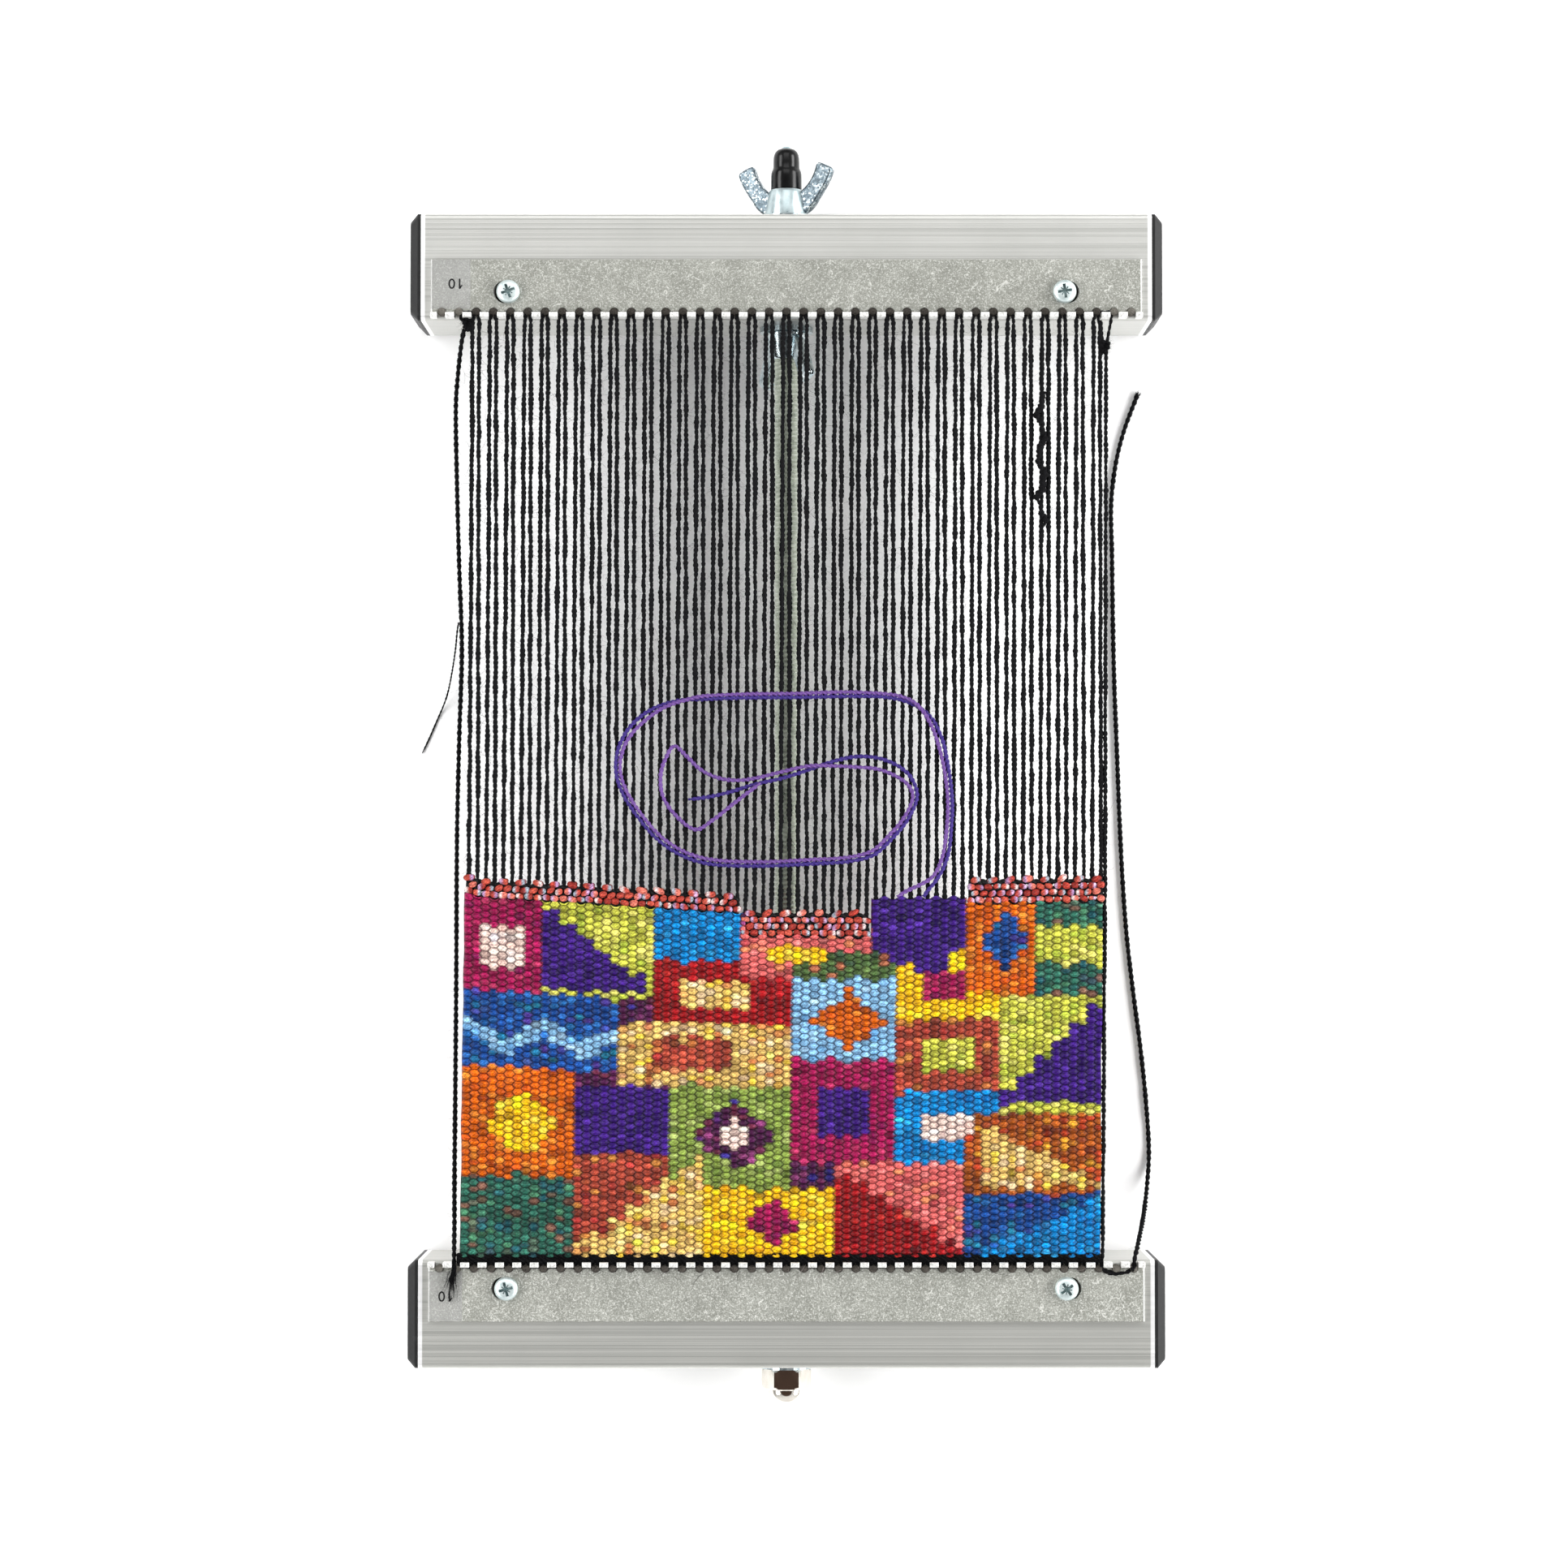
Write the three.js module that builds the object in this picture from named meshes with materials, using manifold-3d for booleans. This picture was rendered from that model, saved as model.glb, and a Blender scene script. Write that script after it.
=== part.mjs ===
// Pocket tapestry loom lying on its back, with a half-woven cloth on it.
// Millimetres, +Z up. The loom's width runs along X and its height along Y, so the warp faces +Z.
// Lengths along Y are counted from the midpoint between the two bars.
// The whole group is then moved along Y so that its box is centred on the origin.
import * as THREE from 'three';
import { mergeVertices } from 'three/addons/utils/BufferGeometryUtils.js';
import Module from 'manifold-3d';

// Driving dimensions of the bars and their end caps
const BAR_SIZE = 31.75;
const BAR_LENGTH = 215.9;
const BAR_WALL = 1.65;
const BAR_CORNER = 1.4;
const BAR_GAP = 276.5;
const END_CAP_RIM = 0.9;
const END_CAP_THICKNESS = 3.2;
const END_CAP_BEVEL = 2.2;
const PLUG_DEPTH = 14;
const PLUG_WALL = 1.6;
const PLUG_CLEARANCE = 0.15;

// Driving dimensions of the combs and their screws
const COMB_LENGTH = 209.55;
const COMB_WIDTH = 17.25;
const COMB_THICKNESS = 1.4;
const COMB_SETBACK = 0.6;
const LIP_THICKNESS = 1.2;
const LIP_HEIGHT = 3.4;
const DENT = 5.08;
const NOTCHES_EACH_SIDE = 20;
const NOTCH_WIDTH = 2.3;
const NOTCH_BEYOND_LIP = 1.5;
const SCREW_SPACING = 164;
const SCREW_FROM_EDGE = 7.6;
const SCREW_HEAD = 6.9;
const SCREW_HEAD_HEIGHT = 2.4;
const SCREW_SHANK = 3.3;
const SCREW_DEPTH = 5.2;
const SCREW_HOLE_CLEARANCE = 0.1;
const SLOT_WIDTH = 4;
const SLOT_OUTER_REACH = 4.1;
const SLOT_INNER_REACH = 3.3;
const CROSS_LENGTH = 3.6;
const CROSS_WIDTH = 0.75;
const CROSS_DEPTH = 1.3;

// Driving dimensions of the rod and what is on it
const ROD_DIAMETER = 7.94;
const ROD_CHAMFER = 0.7;
const ROD_ABOVE = 14.5;
const ROD_BELOW = 8.6;
const ROD_HOLE = 8.7;
const THREAD_CLEARANCE = 0.1;
const WASHER_DIAMETER = 16;
const WASHER_THICKNESS = 1.5;
const HUB_BASE = 12.8;
const HUB_TOP = 10.2;
const HUB_HEIGHT = 8;
const WING_REACH = 14.75;
const WING_TIP_HEIGHT = 15.9;
const WING_THICKNESS = 3.2;
const OUTER_WINGS_TURN = -20;
const INNER_WINGS_TURN = -61;
const NUT_ACROSS_FLATS = 12.7;
const JAM_NUT_HEIGHT = 4.8;
const CAP_NUT_HEX = 6.2;
const CAP_NUT_TURN = 30;
const CAP_NUT_DOME = 5.2;
const CAP_NUT_DOME_DIAMETER = 11.4;
const VINYL_SKIRT = 9.2;
const VINYL_TOP = 7.8;
const VINYL_LENGTH = 12.6;
const VINYL_STEP = 5.3;
const VINYL_WALL = 0.7;

// Driving dimensions of the yarns and the cloth
const WARP_DIAMETER = 0.85;
const WARP_ABOVE_PLATE = 0.35;
const WARP_PAIRS = 37;
const PAIR_HALF_SPACING = 0.65;
const STRAND_OFFSET = 0.72;
const CLOTH_THICKNESS = 3;
const CLOTH_ABOVE_BAR = 1.7;
const CLOTH_LEFT_MARGIN = 1.25;
const CLOTH_RIGHT_MARGIN = 0.65;
const CHANNEL_CLEARANCE = 0.3;
const DRIFT_AT_FELL = 0.4;
const DRIFT_AT_HEM = 1.6;
const HEADER_HEIGHT = 1.1;
const HEADER_THICKNESS = 2.4;
const HEADER_WALL = 0.2;
const TAIL_DIAMETER = 0.85;
const PLY_DIAMETER = 0.45;
const WEFT_DIAMETER = 0.7;
const KNOT_SIZE = 2.6;
const START_KNOT_DROP = 1.9;
const END_KNOT_DROP = 8.7;

// Clearances
const SEAT = 0.05;
const YARN_GAP = 0.3;

// Fell line of the cloth: distance across from the loom's centre, height above the lower bar
const FELL = [
  [-90.3, 113.1], [-88.2, 110.6], [-54.5, 108.8], [-12.2, 105.8], [-11.8, 102.4],
  [25.6, 102.2], [26.4, 105.6], [52.6, 106.2], [53.8, 113.2],
];
const FELL_LEFT_HEIGHT = 112.4;
const FELL_RIGHT_HEIGHT = 113.8;
const FELL_HIGHEST = 113.8;

// Routes of the loose yarns, picked along the photographed curves
const TAIL_RIGHT_ROUTE = [
  [100.9, -141.05, 33.93], [101.4, -140.5, 33.95], [101.7, -139.4, 34], [101.9, -137.8, 33.8],
  [102.8, -135, 31.8], [104.2, -131.5, 26], [105.8, -128, 18], [107.4, -124, 9],
  [108.7, -118, 2.6], [109.4, -109.1, 0.6], [108.6, -94.4, 0.6], [106.9, -77.3, 0.6],
  [104.7, -60.1, 0.6], [102.8, -43, 0.6], [101.6, -25.8, 0.6], [100.7, -6.2, 0.6],
  [100, 13.5, 0.6], [99.3, 33.1, 0.6], [98.9, 52.8, 0.6], [98.7, 72.5, 0.6], [98.5, 87.3, 0.6],
  [100, 99.7, 0.6], [102.5, 109.5, 0.6], [106.4, 119.9, 0.6],
];
const TAIL_LEFT_ROUTE = [
  [-94.9, 135.3, 33.8], [-95.7, 131.9, 32.9], [-97.2, 120.2, 30.6], [-97.7, 113.6, 29.4],
  [-97.6, 89.5, 26], [-97.1, 65.6, 23.5], [-96.4, 41.6, 22], [-97.1, 17.5, 21.5],
  [-97.6, -6.6, 22], [-97.7, -18.7, 22.5], [-97.6, -54.7, 24.5], [-97.5, -90.4, 28],
  [-97.4, -114, 31], [-97.2, -128, 33.2], [-97.2, -134, 33.9], [-97.2, -137.4, 34.05],
  [-97.2, -139, 34.05], [-97.2, -141.2, 34.05], [-97.6, -142.8, 34], [-98.4, -144.6, 33.9],
];
const PLY_ROUTE = [
  [-97.4, 49.6, 22.2], [-97.9, 46.8, 21.2], [-98.5, 43, 18.4], [-99.4, 39, 14.4],
  [-100.5, 35, 9.8], [-101.7, 31, 5.4], [-102.9, 27.8, 2.4], [-104.1, 25, 0.9],
  [-105.3, 22.4, 0.4], [-106.6, 19.4, 0.35], [-107.8, 16.6, 0.35], [-109, 14, 0.35],
  [-110.2, 11.5, 0.35],
];
const WEFT_DARK_ROUTE = [
  [40.2, -31.9, 34.9], [41.2, -30.3, 34.9], [42.8, -28.4, 34.9],
  [45.2, -24.9, 34.9], [47.4, -19.5, 34.9], [48.3, -12, 34.9], [48.6, -3.8, 34.9],
  [47.4, 6.7, 34.9], [45.3, 15.5, 34.9], [41.9, 21.3, 34.9], [36.2, 25.1, 34.9],
  [29.3, 26.7, 34.9], [18.8, 27, 34.9], [5, 26.7, 34.9], [-9, 26.6, 34.9], [-23, 26.2, 34.9],
  [-32.1, 25.6, 34.9], [-40.5, 22.6, 34.9], [-46.2, 17.6, 34.9], [-49.3, 11.5, 34.9],
  [-50, 5.3, 34.9], [-48.3, -0.9, 34.9], [-44, -7.8, 34.9], [-37.8, -15, 34.9],
  [-30.7, -19.7, 34.9], [-23.1, -22.1, 34.9], [-8, -22.8, 34.9], [8.3, -22.1, 34.9],
  [18.8, -21.4, 34.9], [25.7, -19.5, 34.9], [30.7, -15, 34.9], [35.5, -9.3, 34.9],
  [38.3, -2.4, 34.9], [36.9, 2.6, 34.9], [33.6, 6, 34.9], [27.9, 8.6, 34.9], [21, 9.3, 34.9],
  [13.8, 7.9, 34.9], [6.9, 5.5, 34.9], [-1.4, 2.9, 34.9], [-9, 1.2, 34.9], [-16.9, -1.2, 34.9],
  [-23.1, -2.6, 34.9], [-28.8, -3.3, 34.9],
];
const WEFT_LIGHT_ROUTE = [
  [32.6, -32, 34.9], [34.2, -30.7, 34.9], [36.8, -29.4, 34.9],
  [40, -27.9, 34.9], [43.2, -25.6, 34.9], [45.6, -20.6, 34.9], [46.9, -13.2, 34.9],
  [47.4, -4, 34.9], [46.2, 6.2, 34.9], [43.9, 15, 34.9], [41.7, 20, 35.5], [39.6, 23.1, 35.75],
  [37, 25.5, 35.6], [33, 27.1, 34.9], [18.8, 28.2, 34.9], [3, 27.8, 34.9], [-12, 27.6, 34.9],
  [-20, 27.3, 34.9], [-25, 26.9, 35.5], [-29.5, 25.9, 35.75], [-34, 24.5, 35.7],
  [-38, 22.5, 35.1], [-45.3, 16.1, 34.9], [-48.1, 10.9, 34.9], [-48.8, 5.3, 34.9],
  [-47.2, -0.3, 34.9], [-43.1, -6.9, 34.9], [-37, -14, 34.9], [-30.2, -18.5, 34.9],
  [-22.9, -20.8, 34.9], [-8, -21.6, 34.9], [8.3, -20.9, 34.9], [18.5, -20.2, 34.9],
  [25.1, -18.4, 34.9], [29.8, -14.2, 34.9], [34.4, -8.8, 34.9], [37.1, -2.4, 34.9],
  [35.4, 1.3, 34.9], [27.9, 5.3, 34.9], [18.8, 6.3, 34.9], [14.2, 6.5, 35.1], [9.4, 6.6, 35.75],
  [4.6, 6.2, 35.5], [-1, 4.9, 34.9], [-12.6, 2.4, 34.9], [-19.5, 2.9, 34.9], [-25.2, 5.5, 34.9],
  [-29.6, 9.7, 34.9], [-32.9, 12.4, 34.9], [-35.6, 8.4, 34.9], [-36.9, 3.4, 34.9],
  [-36.2, -2.4, 34.9], [-32.8, -7.6, 34.9], [-26.6, -12.1, 34.9], [-21.4, -9.2, 34.9],
  [-15.5, -4.5, 35], [-12, -1.8, 35.3], [-9.2, 0.3, 35.75], [-7.6, 1.6, 35.75],
];
const STEPS_PER_TAIL = 58;
const STEPS_PER_PLY = 16;
const STEPS_PER_WEFT = 72;

// Colours
const ALUMINIUM = { color: 0xc9c9c6, roughness: 0.38, metalness: 0.9 };
const COMB_METAL = { color: 0xb4b5b0, roughness: 0.55, metalness: 0.85 };
const ZINC = { color: 0xb9c3c8, roughness: 0.3, metalness: 0.95 };
const NICKEL = { color: 0xcbc6bd, roughness: 0.14, metalness: 1 };
const BLACK_PLASTIC = { color: 0x1b1b1c, roughness: 0.5, metalness: 0 };
const BLACK_VINYL = { color: 0x0d0d0e, roughness: 0.22, metalness: 0 };
const BLACK_YARN = { color: 0x101011, roughness: 0.95, metalness: 0 };
const CLOTH_YARN = { color: 0x8c3a4a, roughness: 0.9, metalness: 0 };
const PURPLE_YARN = { color: 0x3a1f8a, roughness: 0.8, metalness: 0 };
const LILAC_YARN = { color: 0x9a6bc0, roughness: 0.8, metalness: 0 };

// Places worked out from the driving dimensions
const innerFace = BAR_GAP / 2;
const outerFace = innerFace + BAR_SIZE;
const barMiddle = innerFace + BAR_SIZE / 2;
const rodHeight = BAR_SIZE / 2;
const lipInner = innerFace + COMB_SETBACK;
const lipOuter = lipInner + LIP_THICKNESS;
const plateBottom = BAR_SIZE + SEAT;
const plateTop = plateBottom + COMB_THICKNESS;
const screwLine = lipInner + SCREW_FROM_EDGE;
const warpRadius = WARP_DIAMETER / 2;
const warpHeight = plateTop + WARP_ABOVE_PLATE + warpRadius;
const warpPitch = DENT / 2;
const clothBottom = -innerFace + CLOTH_ABOVE_BAR;
const fellKink = -innerFace + FELL_HIGHEST + 2;
const hubStart = outerFace + WASHER_THICKNESS + 2 * SEAT;
const vinylStart = hubStart + HUB_HEIGHT + SEAT;
const capNutStart = outerFace + WASHER_THICKNESS + 2 * SEAT;
const highest = vinylStart + VINYL_LENGTH;
const lowest = -(capNutStart + CAP_NUT_HEX + CAP_NUT_DOME);

// Solids from geometries, and back
const wasm = await Module();
wasm.setup();

function solid(geometry) {
  const bare = geometry.clone();
  bare.deleteAttribute('normal');
  bare.deleteAttribute('uv');
  const merged = mergeVertices(bare, 1e-4);
  return new wasm.Manifold(new wasm.Mesh({
    numProp: 3,
    vertProperties: new Float32Array(merged.attributes.position.array),
    triVerts: new Uint32Array(merged.index.array),
  }));
}

function geometryOf(body) {
  const mesh = body.getMesh();
  const geometry = new THREE.BufferGeometry();
  geometry.setAttribute('position', new THREE.BufferAttribute(new Float32Array(mesh.vertProperties), 3));
  geometry.setIndex(new THREE.BufferAttribute(new Uint32Array(mesh.triVerts), 1));
  geometry.computeVertexNormals();
  return geometry;
}

function joined(...geometries) {
  return geometries.map(solid).reduce((whole, body) => whole.add(body));
}

function cutFrom(body, ...tools) {
  return tools.reduce((left, tool) => left.subtract(solid(tool)), body);
}

// Closed stack of rings with the same number of points each
function loft(rings) {
  const count = rings[0].length;
  const positions = rings.flat().flatMap((point) => [point.x, point.y, point.z]);
  const index = [];
  for (let ring = 0; ring < rings.length - 1; ring++) {
    for (let side = 0; side < count; side++) {
      const next = (side + 1) % count;
      const a = ring * count + side;
      const b = ring * count + next;
      index.push(a, b, b + count, a, b + count, a + count);
    }
  }
  const last = (rings.length - 1) * count;
  for (let side = 1; side < count - 1; side++) {
    index.push(0, side + 1, side);
    index.push(last, last + side, last + side + 1);
  }
  const geometry = new THREE.BufferGeometry();
  geometry.setAttribute('position', new THREE.Float32BufferAttribute(positions, 3));
  geometry.setIndex(index);
  if (signedVolume(geometry) < 0) {
    for (let i = 0; i < index.length; i += 3) {
      [index[i], index[i + 1]] = [index[i + 1], index[i]];
    }
    geometry.setIndex(index);
  }
  geometry.computeVertexNormals();
  return geometry;
}

function signedVolume(geometry) {
  const position = geometry.attributes.position;
  const [a, b, c] = [new THREE.Vector3(), new THREE.Vector3(), new THREE.Vector3()];
  let total = 0;
  for (let i = 0; i < geometry.index.count; i += 3) {
    a.fromBufferAttribute(position, geometry.index.getX(i));
    b.fromBufferAttribute(position, geometry.index.getX(i + 1));
    c.fromBufferAttribute(position, geometry.index.getX(i + 2));
    total += a.dot(b.cross(c)) / 6;
  }
  return total;
}

// Square outline with round corners, across X at one place
function squareRing(size, corner, x) {
  const arcSteps = 4;
  const half = size / 2 - corner;
  const ring = [];
  for (let quarter = 0; quarter < 4; quarter++) {
    const centre = new THREE.Vector2(half, half).rotateAround(new THREE.Vector2(), quarter * Math.PI / 2);
    for (let step = 0; step <= arcSteps; step++) {
      const angle = (quarter + step / arcSteps) * Math.PI / 2;
      const y = centre.x + corner * Math.cos(angle);
      const z = centre.y + corner * Math.sin(angle);
      ring.push(new THREE.Vector3(x, y, z));
    }
  }
  return ring;
}

function squareBar(size, corner, fromX, toX) {
  return loft([squareRing(size, corner, fromX), squareRing(size, corner, toX)]);
}

function box(width, depth, height, x, y, z) {
  return new THREE.BoxGeometry(width, depth, height).translate(x, y, z);
}

function cylinderAlongY(diameter, fromY, toY, segments = 24) {
  const radius = diameter / 2;
  const length = toY - fromY;
  return new THREE.CylinderGeometry(radius, radius, length, segments).translate(0, (fromY + toY) / 2, 0);
}

function cylinderAlongZ(diameter, fromZ, toZ, segments = 16) {
  const radius = diameter / 2;
  const upright = new THREE.CylinderGeometry(radius, radius, toZ - fromZ, segments);
  return upright.rotateX(Math.PI / 2).translate(0, 0, (fromZ + toZ) / 2);
}

function hexAlongY(acrossFlats, fromY, toY) {
  const radius = acrossFlats / Math.sqrt(3);
  return new THREE.CylinderGeometry(radius, radius, toY - fromY, 6).translate(0, (fromY + toY) / 2, 0);
}

// Tube with mitred corners along points that lie at one height
function flatTube(points, height, diameter, sides = 4) {
  const radius = diameter / 2;
  const rings = points.map(([x, y], place) => {
    const here = new THREE.Vector2(x, y);
    const before = new THREE.Vector2(...points[Math.max(place - 1, 0)]);
    const after = new THREE.Vector2(...points[Math.min(place + 1, points.length - 1)]);
    const into = (place > 0 ? here.clone().sub(before) : after.clone().sub(here)).normalize();
    const out = (place < points.length - 1 ? after.clone().sub(here) : into.clone()).normalize();
    const mitre = new THREE.Vector2(-into.y - out.y, into.x + out.x).normalize();
    const stretch = 1 / Math.max(mitre.dot(new THREE.Vector2(-into.y, into.x)), 0.3);
    const ring = [];
    for (let side = 0; side < sides; side++) {
      const angle = 2 * Math.PI * side / sides;
      const across = radius * stretch * Math.cos(angle);
      ring.push(new THREE.Vector3(
        x + mitre.x * across, y + mitre.y * across, height + radius * Math.sin(angle),
      ));
    }
    return ring;
  });
  return loft(rings);
}

// Round yarn along a smooth curve through its route
function cord(route, diameter, steps) {
  const sides = 8;
  const curve = new THREE.CatmullRomCurve3(route.map((point) => new THREE.Vector3(...point)), false, 'centripetal');
  const section = new THREE.Shape();
  for (let side = 0; side < sides; side++) {
    const angle = 2 * Math.PI * side / sides;
    const [x, y] = [diameter / 2 * Math.cos(angle), diameter / 2 * Math.sin(angle)];
    if (side === 0) section.moveTo(x, y);
    else section.lineTo(x, y);
  }
  section.closePath();
  return new THREE.ExtrudeGeometry(section, { steps, extrudePath: curve });
}

function piece(name, shape, look) {
  const geometry = shape instanceof THREE.BufferGeometry ? shape : geometryOf(shape);
  const mesh = new THREE.Mesh(geometry, new THREE.MeshStandardMaterial(look));
  mesh.name = name;
  return mesh;
}

// Bar: a square tube with a hole for the rod and two screw holes under the comb
function bar() {
  const half = BAR_LENGTH / 2;
  const inside = BAR_SIZE - 2 * BAR_WALL;
  const insideCorner = Math.max(BAR_CORNER - BAR_WALL, 0.3);
  let body = solid(squareBar(BAR_SIZE, BAR_CORNER, -half, half));
  body = cutFrom(body, squareBar(inside, insideCorner, -half - 1, half + 1));
  body = cutFrom(body, cylinderAlongY(ROD_HOLE, -BAR_SIZE, BAR_SIZE));
  for (const side of [-1, 1]) {
    const hole = cylinderAlongZ(SCREW_SHANK + 2 * SCREW_HOLE_CLEARANCE, inside / 2 - 1, BAR_SIZE);
    body = cutFrom(body, hole.translate(side * SCREW_SPACING / 2, screwLine - barMiddle, 0));
  }
  return geometryOf(body).translate(0, barMiddle, rodHeight);
}

// End cap: a bevelled flange over the bar's end and a hollow plug inside it
function endCap(side) {
  const start = BAR_LENGTH / 2 + SEAT;
  const plugSize = BAR_SIZE - 2 * BAR_WALL - 2 * PLUG_CLEARANCE;
  const flange = loft([
    squareRing(BAR_SIZE, BAR_CORNER, start),
    squareRing(BAR_SIZE, BAR_CORNER, start + END_CAP_RIM),
    squareRing(BAR_SIZE - 2 * END_CAP_BEVEL, BAR_CORNER, start + END_CAP_THICKNESS),
  ]);
  const plugCorner = Math.max(BAR_CORNER - BAR_WALL, 0.3);
  const plug = squareBar(plugSize, plugCorner, start - PLUG_DEPTH, start + END_CAP_RIM / 2);
  const hollow = squareBar(plugSize - 2 * PLUG_WALL, plugCorner, start - PLUG_DEPTH - 1, start);
  const geometry = geometryOf(cutFrom(joined(flange, plug), hollow));
  if (side < 0) geometry.rotateZ(Math.PI);
  return geometry.translate(0, barMiddle, rodHeight);
}

// Comb: a flat strip with a raised lip, notched through the lip and a little beyond
function notch() {
  const radius = NOTCH_WIDTH / 2;
  const shape = new THREE.Shape();
  const roundFrom = lipOuter + NOTCH_BEYOND_LIP - radius;
  shape.moveTo(-radius, lipInner - 1);
  shape.lineTo(radius, lipInner - 1);
  shape.lineTo(radius, roundFrom);
  shape.absarc(0, roundFrom, radius, 0, Math.PI, false);
  shape.closePath();
  const depth = COMB_THICKNESS + LIP_HEIGHT + 2;
  return new THREE.ExtrudeGeometry(shape, { depth, bevelEnabled: false, curveSegments: 2 });
}

function slot(side) {
  const radius = SLOT_WIDTH / 2;
  const [rightReach, leftReach] = side > 0
    ? [SLOT_OUTER_REACH, SLOT_INNER_REACH] : [SLOT_INNER_REACH, SLOT_OUTER_REACH];
  const shape = new THREE.Shape();
  shape.absarc(rightReach - radius, 0, radius, -Math.PI / 2, Math.PI / 2, false);
  shape.absarc(radius - leftReach, 0, radius, Math.PI / 2, 3 * Math.PI / 2, false);
  shape.closePath();
  const depth = COMB_THICKNESS + 2;
  return new THREE.ExtrudeGeometry(shape, { depth, bevelEnabled: false, curveSegments: 4 });
}

function comb() {
  const plate = box(COMB_LENGTH, COMB_WIDTH, COMB_THICKNESS,
    0, lipInner + COMB_WIDTH / 2, plateBottom + COMB_THICKNESS / 2);
  const lip = box(COMB_LENGTH, LIP_THICKNESS, COMB_THICKNESS + LIP_HEIGHT,
    0, lipInner + LIP_THICKNESS / 2, plateBottom + (COMB_THICKNESS + LIP_HEIGHT) / 2);
  let body = joined(plate, lip);
  for (let place = -NOTCHES_EACH_SIDE; place <= NOTCHES_EACH_SIDE; place++) {
    body = cutFrom(body, notch().translate(place * DENT, 0, plateBottom - 1));
  }
  for (const side of [-1, 1]) {
    body = cutFrom(body, slot(side).translate(side * SCREW_SPACING / 2, screwLine, plateBottom - 1));
  }
  return body;
}

// Pan-head screw with a cross recess, its head's underside at height 0
function screw(crossTurn) {
  const [head, shank] = [SCREW_HEAD / 2, SCREW_SHANK / 2];
  const profile = [
    [0, -SCREW_DEPTH], [shank, -SCREW_DEPTH], [shank, 0], [head, 0], [head, 0.35 * SCREW_HEAD_HEIGHT],
    [0.9 * head, 0.68 * SCREW_HEAD_HEIGHT], [0.66 * head, 0.9 * SCREW_HEAD_HEIGHT], [0, SCREW_HEAD_HEIGHT],
  ].map(([radius, height]) => new THREE.Vector2(radius, height));
  const turned = new THREE.LatheGeometry(profile, 20).rotateX(Math.PI / 2);
  const middle = SCREW_HEAD_HEIGHT - CROSS_DEPTH / 2 + 0.5;
  const turn = THREE.MathUtils.degToRad(crossTurn);
  const bars = [0, Math.PI / 2].map((quarter) => (
    box(CROSS_LENGTH, CROSS_WIDTH, CROSS_DEPTH + 1, 0, 0, middle).rotateZ(turn + quarter)
  ));
  return cutFrom(solid(turned), ...bars);
}

// Bar with its comb, screws and end caps, built as the upper one
function barAssembly(name, sides, crossTurns) {
  const group = new THREE.Group();
  group.add(piece(`${name}_bar`, bar(), ALUMINIUM));
  group.add(piece(`${name}_comb`, comb(), COMB_METAL));
  for (const side of [-1, 1]) {
    const which = sides[side < 0 ? 0 : 1];
    group.add(piece(`${name}_${which}_end_cap`, endCap(side), BLACK_PLASTIC));
    const fastener = piece(`${name}_${which}_screw`, screw(crossTurns[side < 0 ? 0 : 1]), ZINC);
    fastener.position.set(side * SCREW_SPACING / 2, screwLine, plateTop + SEAT);
    group.add(fastener);
  }
  return group;
}

// Rod and the pieces on it, their bases at 0 and pointing along +Y
function rod() {
  const bottom = -(outerFace + ROD_BELOW);
  const top = outerFace + ROD_ABOVE;
  const radius = ROD_DIAMETER / 2;
  const profile = [
    [0, bottom], [radius - ROD_CHAMFER, bottom], [radius, bottom + ROD_CHAMFER],
    [radius, top - ROD_CHAMFER], [radius - ROD_CHAMFER, top], [0, top],
  ].map(([across, along]) => new THREE.Vector2(across, along));
  return new THREE.LatheGeometry(profile, 24);
}

function washer() {
  const plain = solid(cylinderAlongY(WASHER_DIAMETER, 0, WASHER_THICKNESS));
  return cutFrom(plain, cylinderAlongY(ROD_HOLE, -1, WASHER_THICKNESS + 1));
}

function threadHole(fromY, toY) {
  return cylinderAlongY(ROD_DIAMETER + 2 * THREAD_CLEARANCE, fromY, toY);
}

function wingNut() {
  const hub = new THREE.CylinderGeometry(HUB_TOP / 2, HUB_BASE / 2, HUB_HEIGHT, 28);
  const hubEdge = 0.39 * HUB_TOP;
  const wing = new THREE.Shape();
  wing.moveTo(hubEdge, 0.6);
  wing.lineTo(HUB_BASE / 2, 0.8);
  wing.lineTo(0.7 * WING_REACH, 0.31 * WING_TIP_HEIGHT);
  wing.quadraticCurveTo(WING_REACH, 0.72 * WING_TIP_HEIGHT, WING_REACH, 0.84 * WING_TIP_HEIGHT);
  wing.quadraticCurveTo(0.86 * WING_REACH, WING_TIP_HEIGHT, 0.7 * WING_REACH, WING_TIP_HEIGHT);
  wing.quadraticCurveTo(0.6 * WING_REACH, 0.9 * WING_TIP_HEIGHT, hubEdge, HUB_HEIGHT - 0.8);
  wing.closePath();
  const options = { depth: WING_THICKNESS, bevelEnabled: false, curveSegments: 4 };
  const right = new THREE.ExtrudeGeometry(wing, options).translate(0, 0, -WING_THICKNESS / 2);
  const left = right.clone().rotateY(Math.PI);
  const body = joined(hub.translate(0, HUB_HEIGHT / 2, 0), right, left);
  return cutFrom(body, threadHole(-1, WING_TIP_HEIGHT + 1));
}

function jamNut() {
  return cutFrom(solid(hexAlongY(NUT_ACROSS_FLATS, 0, JAM_NUT_HEIGHT)), threadHole(-1, JAM_NUT_HEIGHT + 1));
}

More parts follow.
